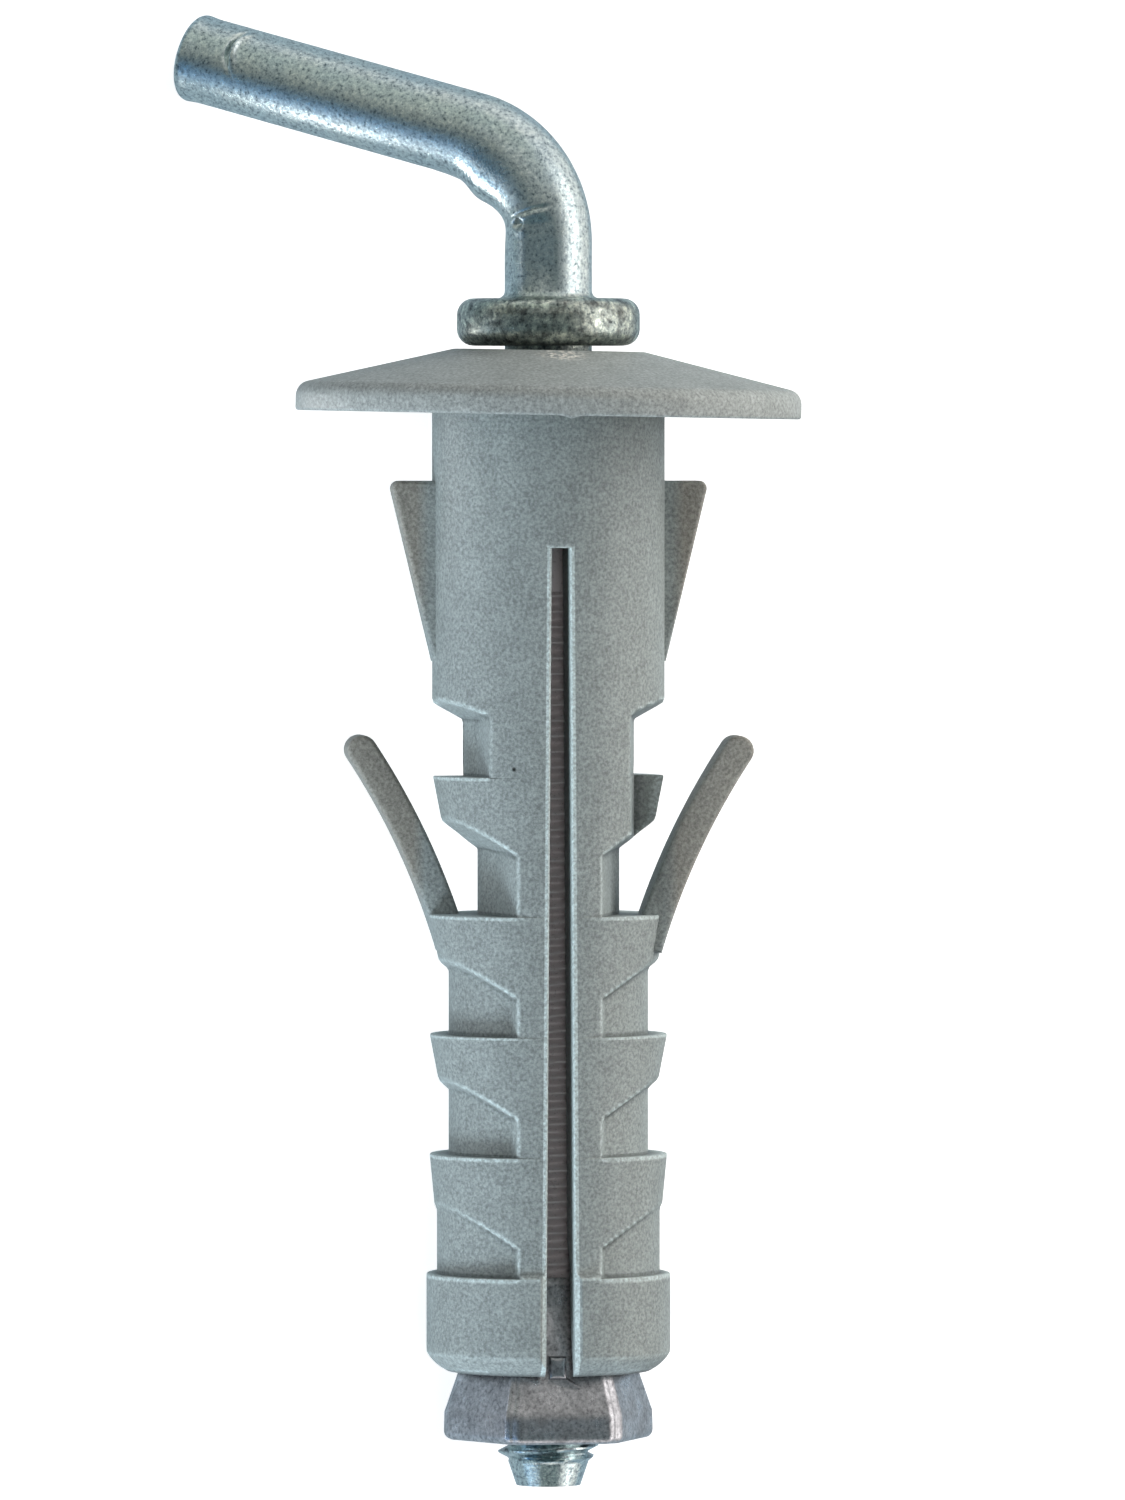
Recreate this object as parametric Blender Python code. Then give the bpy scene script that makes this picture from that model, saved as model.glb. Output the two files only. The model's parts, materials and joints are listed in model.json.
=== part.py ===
"""Hook wall plug: an angle hook, its cover rosette, a barbed expansion sleeve and a cone nut.

Metres, +Z up. The plug is drawn upright about its own axis, with the wall plane at height 0,
the hook above it and the sleeve below it, and is then laid down as it comes to rest on a floor:
on the rosette's rim, the sleeve's lower band and the tip of the hook's arm.
"""
import math

import bmesh
import bpy
import numpy as np
from mathutils import Matrix, Vector

# Angle hook: one bent rod with an upset collar
ROD_DIAMETER = 0.00450
BEND_RADIUS = 0.00570
ARM_RISE_DEG = 14.8
ARM_LENGTH = 0.0210
ARM_HEIGHT = 0.01330
COLLAR_DIAMETER = 0.00944
COLLAR_THICKNESS = 0.00244
COLLAR_ROUND = 0.00080
NECK_FILLET = 0.00035
TIP_ROUND = 0.00035
TIP_SWELL = 0.00013
ROD_STANDOUT = 0.00240
ROD_POINT_LENGTH = 0.00110
ROD_POINT_DIAMETER = 0.00340

# Rosette: a conical cap, hollow below, with a socket for the sleeve's head
ROSETTE_DIAMETER = 0.02610
ROSETTE_HEIGHT = 0.00322
ROSETTE_TOP_DIAMETER = 0.01040
ROSETTE_RIM_HEIGHT = 0.00075
ROSETTE_RIM_ROUND = 0.00080
ROSETTE_RIM_EDGE = 0.00015
ROSETTE_RIM_WIDTH = 0.00170
ROSETTE_WALL = 0.00115
ROSETTE_SOCKET_WALL = 0.00110
ROSETTE_SOCKET_RECESS = 0.00025
ROSETTE_LEAN_DEG = 1.1
ROSETTE_LEAN_TOWARDS_DEG = -6.2

# Sleeve: one moulding, its depths counted from the wall plane
SLEEVE_DIAMETER = 0.01200
SLEEVE_HEAD = 0.00095
SLEEVE_HEAD_CHAMFER = 0.00025
BAND_DIAMETER = 0.01260
BAND_LENGTH = 0.00405
MOUTH_DIAMETER = 0.01052
MOUTH_LENGTH = 0.00099
BARB_COUNT = 3
BARB_PITCH = 0.00618
BARB_DEPTH = 0.02575
BARB_LENGTH = 0.00255
BARB_DIAMETER = 0.01228
BARB_TAPER = 0.00050
LAST_BARB_TAPER = 0.00025
POCKET_DIAMETER = 0.01030
LAST_POCKET_DIAMETER = 0.01152
SPINE_WIDTH = 0.00410
POCKET_DRAFT = 0.15
RAMP_ACROSS = 0.75
RAMP_INWARD = 0.16
RAMP_LENGTH = 0.00030

# Wings, the recess that each folds into, and the guide barb beside it. Their heights are counted
# from the first barb's ledge, which is BARB_DEPTH below the wall plane
WING_ROOT_DROP = 0.00175
WING_ROOT_REACH = 0.00485
WING_TIP_HEIGHT = 0.00845
WING_TIP_REACH = 0.00960
WING_BOW = 0.00042
WING_THICKNESS = 0.00155
WING_WIDTH = 0.00250
WING_OFFSET = 0.00025
RECESS_HEIGHT = 0.00966
RECESS_DIAMETER = 0.00878
RECESS_SPINE_WIDTH = 0.00712
WAIST_HEIGHT = 0.00340
WAIST_DIAMETER = 0.00732
GUIDE_BARB_HEIGHT = 0.00715
GUIDE_BARB_LENGTH = 0.00230
GUIDE_BARB_TAPER = 0.00045
WING_WAY_OVERLAP = 0.00050
WING_WAY_STEP = 0.00002

# Upper fins
FIN_DEPTH = 0.00340
FIN_LENGTH = 0.00930
FIN_REACH = 0.00815
FIN_CORNER = 0.00035
FIN_THICKNESS = 0.00180
FIN_SLOPE_DEG = 13.5

# Slots through the sleeve, front and back
SLOT_DEPTH = 0.00681
SLOT_TOP_WIDTH = 0.00093
SLOT_MOUTH_WIDTH = 0.00150

# Cone nut, with a lug in each slot
NUT_SUNK = 0.00493
NUT_TOP_DIAMETER = 0.00650
NUT_NECK_DIAMETER = 0.00700
NUT_NECK_LENGTH = 0.00160
NUT_CONE_DIAMETER = 0.01132
NUT_CONE_LENGTH = 0.00545
NUT_BAND_DIAMETER = 0.01136
NUT_BAND_LENGTH = 0.00100
NUT_EDGE_ROUND = 0.00042
NUT_FLATS = 8
NUT_FLATNESS = 0.050
NUT_FLATS_TURN_DEG = -5.0
LUG_WIDTH = 0.00090
LUG_LENGTH = 0.00115
LUG_FOOT_WIDTH = 0.00340
LUG_FLARE_LENGTH = 0.00060
LUG_FOOT_LENGTH = 0.00060
LUG_STANDOUT = 0.00098
LUG_REACH = 0.00482

# Fits
COLLAR_GAP = 0.00033
ROSETTE_ROD_CLEARANCE = 0.00035
SLEEVE_ROD_CLEARANCE = 0.00035
HEAD_CLEARANCE = 0.00035
NUT_ROD_CLEARANCE = 0.00030
NUT_SLEEVE_CLEARANCE = 0.00023
NUT_TRAVEL_UP = 0.00050

# How the sleeve is turned to the hook, and how fine the facets are
SLEEVE_TURN_DEG = 30.2
ROUND_SEGMENTS = 56
ROD_SEGMENTS = 28
BEND_STEPS = 12
ARC_STEPS = 4
WING_STEPS = 9
TOOL_MARGIN = 0.00200
POCKET_MARGIN = 0.00050


def material(name, colour, metallic, roughness):
    """A plain Principled finish."""
    finish = bpy.data.materials.new(name)
    finish.use_nodes = True
    shader = finish.node_tree.nodes["Principled BSDF"]
    shader.inputs["Base Color"].default_value = (*colour, 1.0)
    shader.inputs["Metallic"].default_value = metallic
    shader.inputs["Roughness"].default_value = roughness
    finish.diffuse_color = (*colour, 1.0)
    return finish


def empty(name, parent=None):
    """A frame that pieces hang from."""
    frame = bpy.data.objects.new(name, None)
    frame.empty_display_size = SLEEVE_DIAMETER
    frame.parent = parent
    bpy.context.scene.collection.objects.link(frame)
    return frame


def solid(name, points, faces, parent, finish=None):
    """An object from points and faces, with its normals turned outwards."""
    mesh = bpy.data.meshes.new(name)
    mesh.from_pydata(np.asarray(points, dtype=float).tolist(), [], faces)
    work = bmesh.new()
    work.from_mesh(mesh)
    bmesh.ops.recalc_face_normals(work, faces=work.faces)
    work.to_mesh(mesh)
    work.free()
    thing = bpy.data.objects.new(name, mesh)
    thing.parent = parent
    bpy.context.scene.collection.objects.link(thing)
    if finish:
        mesh.materials.append(finish)
    return thing


def joined(name, parts):
    """Separate meshes that share a frame and don't touch, as one object."""
    work = bmesh.new()
    for part in parts:
        work.from_mesh(part.data)
    mesh = bpy.data.meshes.new(name)
    work.to_mesh(mesh)
    work.free()
    thing = bpy.data.objects.new(name, mesh)
    thing.parent = parts[0].parent
    bpy.context.scene.collection.objects.link(thing)
    for part in parts:
        bpy.data.objects.remove(part)
    return thing


def boolean(thing, tool, operation):
    """Adds an exact Boolean and marks its tool as one."""
    tool.display_type = "WIRE"
    tool.hide_render = True
    step = thing.modifiers.new(f"{operation.title()} {tool.name}", "BOOLEAN")
    step.operation = operation
    step.object = tool
    step.solver = "EXACT"


def smooth(thing, angle_deg=32):
    """Smooth shading up to the given angle between faces."""
    thing.data.shade_smooth()
    thing.data.set_sharp_from_angle(angle=math.radians(angle_deg))


def arc(centre, radius, start_deg, end_deg, steps=ARC_STEPS):
    """Points on a circular arc in a plane."""
    angles = np.radians(np.linspace(start_deg, end_deg, steps))
    return [(centre[0] + radius * math.cos(a), centre[1] + radius * math.sin(a)) for a in angles]


def ring_faces(rings, segments, ring_shaped):
    """Quads between rings; a ring-shaped surface closes on its first ring, others get two caps."""
    faces = []
    for row in range(rings if ring_shaped else rings - 1):
        below = (row + 1) % rings
        for step in range(segments):
            after = (step + 1) % segments
            faces.append((row * segments + step, row * segments + after,
                          below * segments + after, below * segments + step))
    if not ring_shaped:
        faces.append(tuple(range(segments)))
        faces.append(tuple(range((rings - 1) * segments, rings * segments)))
    return faces


def turned(name, profile, parent, finish=None, ring_shaped=False, radius_at=None):
    """A solid turned about +Z from (radius, height) points; ring-shaped ones have a hole.

    radius_at(radii, angles) may change each ring's radius with the angle about the axis.
    """
    profile = np.asarray(profile, dtype=float)
    angles = np.linspace(0, 2 * math.pi, ROUND_SEGMENTS, endpoint=False)
    radii = np.repeat(profile[:, :1], ROUND_SEGMENTS, axis=1)
    if radius_at:
        radii = radius_at(radii, angles)
    heights = np.repeat(profile[:, 1:], ROUND_SEGMENTS, axis=1)
    points = np.stack([radii * np.cos(angles), radii * np.sin(angles), heights], axis=-1)
    faces = ring_faces(len(profile), ROUND_SEGMENTS, ring_shaped)
    return solid(name, points.reshape(-1, 3), faces, parent, finish)


def extruded(name, outline, near, far, parent):
    """A solid from an outline in X and Z, extruded along Y from near to far."""
    count = len(outline)
    points = [(x, near, z) for x, z in outline] + [(x, far, z) for x, z in outline]
    faces = [tuple(range(count)), tuple(range(count, 2 * count))]
    faces += [(i, (i + 1) % count, count + (i + 1) % count, count + i) for i in range(count)]
    return solid(name, points, faces, parent)


def collar_base():
    """Height of the collar's underside, which clears the leaning rosette all round."""
    lean = math.radians(ROSETTE_LEAN_DEG)
    return ROSETTE_HEIGHT + COLLAR_DIAMETER / 2 * math.tan(lean) + COLLAR_GAP


def barb_depth(index):
    """Depth of a barb's upper ledge, and after the last barb that of the band."""
    return BARB_DEPTH + index * BARB_PITCH


def guide_barb_depth():
    """Depth of the guide barb's upper ledge."""
    return BARB_DEPTH - GUIDE_BARB_HEIGHT


def band_base_depth():
    """Depth at which the sleeve's lower band ends and its mouth starts to close in."""
    return barb_depth(BARB_COUNT) + BAND_LENGTH


def sleeve_length():
    """Depth of the sleeve's open end."""
    return band_base_depth() + MOUTH_LENGTH


def nut_depth():
    """Depth of the nut's upper face."""
    return sleeve_length() - NUT_SUNK


def nut_base_depth():
    """Depth of the nut's lower face."""
    return nut_depth() + NUT_NECK_LENGTH + NUT_CONE_LENGTH + NUT_BAND_LENGTH + NUT_EDGE_ROUND


def nut_cone_slope():
    """How fast the nut's cone widens with depth."""
    return (NUT_CONE_DIAMETER - NUT_NECK_DIAMETER) / 2 / NUT_CONE_LENGTH


def arm_tip():
    """The middle of the arm's end, in the hook's own plane."""
    rise = math.radians(ARM_RISE_DEG)
    return Vector((-ARM_LENGTH * math.cos(rise), 0, ARM_HEIGHT + ARM_LENGTH * math.sin(rise)))


def hook_stations():
    """The rod from the arm's tip to its threaded end, as (point, tangent, radius)."""
    rod = ROD_DIAMETER / 2
    rise = math.radians(ARM_RISE_DEG)
    inwards = Vector((math.cos(rise), 0, -math.sin(rise)))
    tip = rod + TIP_SWELL
    stations = [(arm_tip() + inwards * (TIP_ROUND - along), inwards, tip - TIP_ROUND + across)
                for across, along in arc((0, 0), TIP_ROUND, 90, 0)]
    turn = math.pi / 2 - rise
    bend_height = ARM_HEIGHT - BEND_RADIUS * math.tan(turn / 2)
    for angle in np.linspace(turn, 0, BEND_STEPS):
        point = Vector((math.cos(angle) - 1, 0, math.sin(angle))) * BEND_RADIUS
        point.z += bend_height
        stations.append((point, Vector((math.sin(angle), 0, -math.cos(angle))), rod))

    collar = COLLAR_DIAMETER / 2
    base = collar_base()
    top = base + COLLAR_THICKNESS
    end = -(nut_base_depth() + ROD_STANDOUT)
    turned_part = arc((rod + NECK_FILLET, top + NECK_FILLET), NECK_FILLET, 180, 270)
    turned_part += arc((collar - COLLAR_ROUND, top - COLLAR_ROUND), COLLAR_ROUND, 90, 0)
    turned_part += arc((collar - COLLAR_ROUND, base + COLLAR_ROUND), COLLAR_ROUND, 0, -90)
    turned_part += [(rod, base), (rod, end + ROD_POINT_LENGTH), (ROD_POINT_DIAMETER / 2, end)]
    down = Vector((0, 0, -1))
    stations += [(Vector((0, 0, height)), down, radius) for radius, height in turned_part]
    return stations


def make_hook(parent, finish):
    """A round section carried along the rod's path, widened at the collar and a little at the tip."""
    stations = hook_stations()
    sideways = Vector((0, 1, 0))
    angles = np.linspace(0, 2 * math.pi, ROD_SEGMENTS, endpoint=False)
    points = []
    for centre, tangent, radius in stations:
        outwards = sideways.cross(tangent)
        points += [centre + (outwards * math.cos(a) + sideways * math.sin(a)) * radius
                   for a in angles]
    faces = ring_faces(len(stations), ROD_SEGMENTS, ring_shaped=False)
    hook = solid("angle_hook", [tuple(point) for point in points], faces, parent, finish)
    smooth(hook)
    return hook


def make_rosette(parent, finish):
    """A turned cap: conical top, rounded rim, hollow underside and a socket for the sleeve."""
    rim = ROSETTE_DIAMETER / 2
    top = ROSETTE_TOP_DIAMETER / 2
    rim_arc = arc((rim - ROSETTE_RIM_ROUND, ROSETTE_RIM_HEIGHT), ROSETTE_RIM_ROUND, 77, 0)
    slope = (ROSETTE_HEIGHT - rim_arc[0][1]) / (rim_arc[0][0] - top)

    def ceiling(radius):
        return ROSETTE_HEIGHT - ROSETTE_WALL - slope * (radius - top)

    hole = ROD_DIAMETER / 2 + ROSETTE_ROD_CLEARANCE
    socket = SLEEVE_DIAMETER / 2 + HEAD_CLEARANCE
    boss = socket + ROSETTE_SOCKET_WALL
    lean = math.radians(ROSETTE_LEAN_DEG)
    seat = SLEEVE_HEAD + SLEEVE_DIAMETER / 2 * math.tan(lean) + HEAD_CLEARANCE
    rim_inside = rim - ROSETTE_RIM_EDGE - ROSETTE_RIM_WIDTH
    profile = [(hole, ROSETTE_HEIGHT), (top, ROSETTE_HEIGHT)] + rim_arc
    profile += [(rim, ROSETTE_RIM_EDGE), (rim - ROSETTE_RIM_EDGE, 0), (rim_inside, 0)]
    profile += [(rim_inside, ceiling(rim_inside)), (boss, ceiling(boss))]
    profile += [(boss, ROSETTE_SOCKET_RECESS), (socket, ROSETTE_SOCKET_RECESS)]
    profile += [(socket, seat), (hole, seat)]
    rosette = turned("rosette", profile, parent, finish, ring_shaped=True)
    across = math.radians(ROSETTE_LEAN_TOWARDS_DEG + 90)
    rosette.rotation_mode = "QUATERNION"
    rosette.rotation_quaternion = Matrix.Rotation(
        lean, 3, Vector((math.cos(across), math.sin(across), 0))).to_quaternion()
    smooth(rosette)
    return rosette


def barb_side_radius(index):
    """The lower radius of a barb at its sides; the last barb tapers less."""
    taper = LAST_BARB_TAPER if index == BARB_COUNT - 1 else BARB_TAPER
    return BARB_DIAMETER / 2 - taper


def sleeve_body(parent, finish):
    """The sleeve before its pockets are cut.

    The barbs taper at the sides only: a ring's radius runs from the spine's at the front and
    back to the barb's own at the sides with the squared cosine of its angle.
    """
    full = SLEEVE_DIAMETER / 2
    band = BAND_DIAMETER / 2
    profile = [(full - SLEEVE_HEAD_CHAMFER, SLEEVE_HEAD),
               (full, SLEEVE_HEAD - SLEEVE_HEAD_CHAMFER), (full, -guide_barb_depth()),
               (full - GUIDE_BARB_TAPER, -(guide_barb_depth() + GUIDE_BARB_LENGTH))]
    for index in range(BARB_COUNT):
        profile.append((BARB_DIAMETER / 2, -barb_depth(index)))
        profile.append((barb_side_radius(index), -(barb_depth(index) + BARB_LENGTH)))
    tapered = len(profile)
    band_top = barb_depth(BARB_COUNT)
    profile += [(barb_side_radius(BARB_COUNT - 1), -(band_top - RAMP_LENGTH)),
                (band, -band_top), (band, -band_base_depth()),
                (MOUTH_DIAMETER / 2, -sleeve_length())]

    def radius_at(radii, angles):
        shaped = radii.copy()
        share = np.cos(angles)[None, :] ** 2
        shaped[2:tapered + 1] = full + (radii[2:tapered + 1] - full) * share
        return shaped

    return turned("plug_sleeve", profile, parent, finish, radius_at=radius_at)


def side_pocket(name, side, ramp_depth, ramp_radius, ledge_depth, spine_width, parent,
                reach_front=1.0, reach_back=1.0):
    """A tool for one pocket on one side, open to the front and the back as its mould core was.

    Its inner wall leans out from the spine, its roof is a ramp that rises outwards, and its floor
    is the flat ledge of the barb below. reach_front or reach_back of 0 leaves that half out.
    """
    far = BAND_DIAMETER / 2 + POCKET_MARGIN
    wall_in = spine_width / 2 + POCKET_DRAFT * SLEEVE_DIAMETER / 2
    wall_out = spine_width / 2 - POCKET_DRAFT * (far - SLEEVE_DIAMETER / 2)
    plan = [(wall_in, 0), (far, 0)]
    halves = []
    if reach_front:
        halves.append([(wall_out, -far * reach_front), (far, -far * reach_front)])
    if reach_back:
        halves.append([(wall_out, far * reach_back), (far, far * reach_back)])
    for half in halves:
        plan += half

    def roof(x, y):
        return -(ramp_depth + RAMP_ACROSS * (ramp_radius - x) - RAMP_INWARD * abs(y))

    count = len(plan)
    points = [(side * x, y, roof(x, y)) for x, y in plan]
    points += [(side * x, y, -ledge_depth) for x, y in plan]
    faces = []
    for index in range(len(halves)):
        out_in, out_far = 2 + 2 * index, 3 + 2 * index
        loop = (0, 1, out_far, out_in)
        faces += [loop, tuple(count + corner for corner in loop)]
        faces += [(0, out_in, count + out_in, count), (out_in, out_far, count + out_far,
                                                       count + out_in),
                  (out_far, 1, count + 1, count + out_far)]
    if len(halves) == 1:
        faces.append((0, 1, count + 1, count))
    return solid(name, points, faces, parent)


def wing_outline():
    """The wing's outline: a bar of one thickness along a bowed line, with a round tip."""
    root = np.array([WING_ROOT_REACH, -(BARB_DEPTH + WING_ROOT_DROP)])
    tip = np.array([WING_TIP_REACH, -(BARB_DEPTH - WING_TIP_HEIGHT)])
    chord = tip - root
    outwards = np.array([chord[1], -chord[0]]) / np.hypot(*chord)
    share = np.linspace(0, 1, WING_STEPS)[:, None]
    middle = root + chord * share - outwards * 4 * WING_BOW * share * (1 - share)
    tangent = chord - outwards * 4 * WING_BOW * (1 - 2 * share)
    normal = np.stack([tangent[:, 1], -tangent[:, 0]], axis=1)
    normal /= np.linalg.norm(normal, axis=1)[:, None]
    outer = middle + normal * WING_THICKNESS / 2
    inner = middle - normal * WING_THICKNESS / 2
    start = math.degrees(math.atan2(normal[-1][1], normal[-1][0]))
    round_tip = arc(tip, WING_THICKNESS / 2, start, start + 180, 2 * ARC_STEPS + 1)[1:-1]
    return [tuple(point) for point in outer] + round_tip + [tuple(p) for p in inner[::-1]]


def fin_outline():
    """The fin's outline: a square shoulder with a round corner, and an edge that runs in."""
    inside = (SLEEVE_DIAMETER + ROD_DIAMETER) / 4
    corner = (FIN_REACH - FIN_CORNER, -(FIN_DEPTH + FIN_CORNER))
    shoulder = arc(corner, FIN_CORNER, 90, -FIN_SLOPE_DEG)
    foot = -(FIN_DEPTH + FIN_LENGTH)
    run = (shoulder[-1][1] - foot) * math.tan(math.radians(FIN_SLOPE_DEG))
    return [(inside, -FIN_DEPTH)] + shoulder + [(shoulder[-1][0] - run, foot), (inside, foot)]


def sleeve_outgrowths(parent):
    """Wings and fins. The two wings are offset to opposite sides, so each folds past the other's
    guide barb; a half turn about the axis carries one onto the other."""
    wing = wing_outline()
    fin = fin_outline()
    near, far = WING_OFFSET, WING_OFFSET + WING_WIDTH
    parts = [extruded("wing right", wing, -far, -near, parent),
             extruded("wing left", [(-x, z) for x, z in wing], near, far, parent),
             extruded("fin right", fin, -FIN_THICKNESS / 2, FIN_THICKNESS / 2, parent),
             extruded("fin left", [(-x, z) for x, z in fin], -FIN_THICKNESS / 2,
                      FIN_THICKNESS / 2, parent)]
    return joined("wings and fins", parts)


def sleeve_core(parent):
    """The floors of all the recesses and pockets, as one turned core."""
    recess, waist = RECESS_DIAMETER / 2, WAIST_DIAMETER / 2
    pocket, last = POCKET_DIAMETER / 2, LAST_POCKET_DIAMETER / 2
    inside_barb = BARB_LENGTH / 3
    waist_rise = (recess - waist) * RAMP_ACROSS
    waist_depth = BARB_DEPTH - WAIST_HEIGHT
    last_barb = barb_depth(BARB_COUNT - 1)
    profile = [(recess, RECESS_HEIGHT - BARB_DEPTH + 2 * SLEEVE_HEAD),
               (recess, waist_rise - waist_depth),
               (waist, -waist_depth), (waist, -(BARB_DEPTH + inside_barb)),
               (pocket, -(BARB_DEPTH + 2 * inside_barb)), (pocket, -(last_barb + inside_barb)),
               (last, -(last_barb + 2 * inside_barb)),
               (last, -(barb_depth(BARB_COUNT) + BAND_LENGTH / 2))]
    return turned("recess floors", profile, parent)


def sleeve_bore(parent):
    """The bore for the rod, widened below to the nut's own form and its travel."""
    bore = ROD_DIAMETER / 2 + SLEEVE_ROD_CLEARANCE
    neck = NUT_NECK_DIAMETER / 2 + NUT_SLEEVE_CLEARANCE
    cavity = nut_depth() - NUT_TRAVEL_UP - NUT_SLEEVE_CLEARANCE
    cone = nut_depth() + NUT_NECK_LENGTH
    below = sleeve_length() + TOOL_MARGIN
    profile = [(bore, SLEEVE_HEAD + TOOL_MARGIN), (bore, -cavity + neck - bore), (neck, -cavity),
               (neck, -cone), (neck + (below - cone) * nut_cone_slope(), -below)]
    return turned("bore", profile, parent)


def make_sleeve(parent, finish):
    """The moulded sleeve: body, pockets, floors, wings and fins, then bore and slots."""
    sleeve = sleeve_body(parent, finish)
    recess = RECESS_DIAMETER / 2
    waist_depth = BARB_DEPTH - WAIST_HEIGHT
    pockets = []
    for side in (-1, 1):
        pockets.append(side_pocket("recess", side, BARB_DEPTH - RECESS_HEIGHT, recess,
                                   guide_barb_depth(), RECESS_SPINE_WIDTH, parent))
        pockets.append(side_pocket("waist", side, waist_depth, WAIST_DIAMETER / 2, BARB_DEPTH,
                                   SPINE_WIDTH, parent))
        for index in range(BARB_COUNT):
            last = index == BARB_COUNT - 1
            floor = (LAST_POCKET_DIAMETER if last else POCKET_DIAMETER) / 2
            drop = (BARB_DIAMETER / 2 - floor) * RAMP_ACROSS
            roof = barb_depth(index) + BARB_LENGTH + (drop if last else RAMP_LENGTH)
            pockets.append(side_pocket("pocket", side, roof, floor, barb_depth(index + 1),
                                       SPINE_WIDTH, parent))
    boolean(sleeve, joined("pockets", pockets), "DIFFERENCE")

    beside_wings = []
    for side in (-1, 1):
        beside_wings.append(side_pocket("wing way", side, guide_barb_depth() - WING_WAY_OVERLAP,
                                        recess, waist_depth,
                                        RECESS_SPINE_WIDTH + 2 * WING_WAY_STEP, parent,
                                        reach_front=max(side, 0), reach_back=max(-side, 0)))
    boolean(sleeve, joined("wing ways", beside_wings), "DIFFERENCE")
    boolean(sleeve, sleeve_core(parent), "UNION")
    boolean(sleeve, sleeve_outgrowths(parent), "UNION")
    boolean(sleeve, sleeve_bore(parent), "DIFFERENCE")

    run = sleeve_length() - SLOT_DEPTH
    top, mouth = SLOT_TOP_WIDTH / 2, SLOT_MOUTH_WIDTH / 2
    below = mouth + (mouth - top) * TOOL_MARGIN / run
    end = -(sleeve_length() + TOOL_MARGIN)
    outline = [(-top, -SLOT_DEPTH), (top, -SLOT_DEPTH), (below, end), (-below, end)]
    through = BAND_DIAMETER / 2 + TOOL_MARGIN
    boolean(sleeve, extruded("slots", outline, -through, through, parent), "DIFFERENCE")
    smooth(sleeve)
    return sleeve


def make_nut(parent, finish):
    """The cone nut: a turned cone eased to eight flats, two lugs and the bore for the rod."""
    neck_end = nut_depth() + NUT_NECK_LENGTH
    cone_end = neck_end + NUT_CONE_LENGTH
    band_end = cone_end + NUT_BAND_LENGTH
    band = NUT_BAND_DIAMETER / 2
    profile = [(NUT_TOP_DIAMETER / 2, -nut_depth()), (NUT_NECK_DIAMETER / 2, -neck_end),
               (NUT_CONE_DIAMETER / 2, -cone_end)]
    profile += arc((band - NUT_EDGE_ROUND, -band_end), NUT_EDGE_ROUND, 0, -90)

    def radius_at(radii, angles):
        sector = 2 * math.pi / NUT_FLATS
        turned = angles + math.pi / 2 - math.radians(NUT_FLATS_TURN_DEG)
        from_flat = (turned + sector / 2) % sector - sector / 2
        return radii * np.minimum(1, (1 - NUT_FLATNESS) / np.cos(from_flat))[None, :]

    nut = turned("cone_nut", profile, parent, finish, radius_at=radius_at)
    top = sleeve_length() - LUG_STANDOUT
    flare = top + LUG_LENGTH
    foot = flare + LUG_FLARE_LENGTH
    end = foot + LUG_FOOT_LENGTH
    slim, wide = LUG_WIDTH / 2, LUG_FOOT_WIDTH / 2
    outline = [(slim, -top), (slim, -flare), (wide, -foot), (wide, -end)]
    outline += [(-x, z) for x, z in outline[::-1]]
    boolean(nut, extruded("lugs", outline, -LUG_REACH, LUG_REACH, parent), "UNION")
    hole = ROD_DIAMETER / 2 + NUT_ROD_CLEARANCE
    bore = turned("nut bore", [(hole, TOOL_MARGIN - nut_depth()),
                               (hole, -nut_base_depth() - TOOL_MARGIN)], parent)
    boolean(nut, bore, "DIFFERENCE")
    smooth(nut)
    return nut


def lying_directions():
    """The hook's own X, Y and Z directions when the plug lies on the floor.

    The axis tips until the rosette's rim touches down together with the sleeve's band or the
    nut's base, and the hook rolls until its arm's tip does too. The hook points to -X, its arm
    to -Y.
    """
    rim, rim_height = ROSETTE_DIAMETER / 2, ROSETTE_RIM_EDGE
    feet = [(BAND_DIAMETER / 2, -band_base_depth()),
            (NUT_BAND_DIAMETER / 2, NUT_EDGE_ROUND - nut_base_depth())]
    tip_up = min(math.atan2(rim - radius, rim_height - height) for radius, height in feet)
    axis_height = rim * math.cos(tip_up) - rim_height * math.sin(tip_up)
    tip = ROD_DIAMETER / 2 + TIP_SWELL
    rise = math.radians(ARM_RISE_DEG)
    end = arm_tip()
    roll = 0.0
    for _ in range(20):
        fall = math.sin(tip_up) * math.sin(rise) - math.cos(tip_up) * math.cos(rise) * math.sin(roll)
        drop = axis_height + end.z * math.sin(tip_up) - tip * math.sqrt(1 - fall * fall)
        roll = math.asin(drop / (-end.x * math.cos(tip_up)))
    axis = Vector((-math.cos(tip_up), 0, math.sin(tip_up)))
    level = Vector((0, -1, 0))
    upwards = axis.cross(level)
    arm = level * math.cos(roll) - upwards * math.sin(roll)
    return -arm, axis.cross(-arm), axis


def lay_down(frame, pieces):
    """Turns the whole plug to rest, with the bottom centre of its box at the origin."""
    across, through, along = lying_directions()
    turn = Matrix((across, through, along)).transposed().to_4x4()
    frame.matrix_world = turn
    bpy.context.view_layer.update()
    graph = bpy.context.evaluated_depsgraph_get()
    corners = []
    for piece in pieces:
        shape = piece.evaluated_get(graph)
        points = np.empty(len(shape.data.vertices) * 3)
        shape.data.vertices.foreach_get("co", points)
        place = np.array(shape.matrix_world)
        points = points.reshape(-1, 3) @ place[:3, :3].T + place[:3, 3]
        corners += [points.min(axis=0), points.max(axis=0)]
    low, high = np.min(corners, axis=0), np.max(corners, axis=0)
    middle = (low + high) / 2
    frame.matrix_world = Matrix.Translation((-middle[0], -middle[1], -low[2])) @ turn
    bpy.context.view_layer.update()


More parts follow.
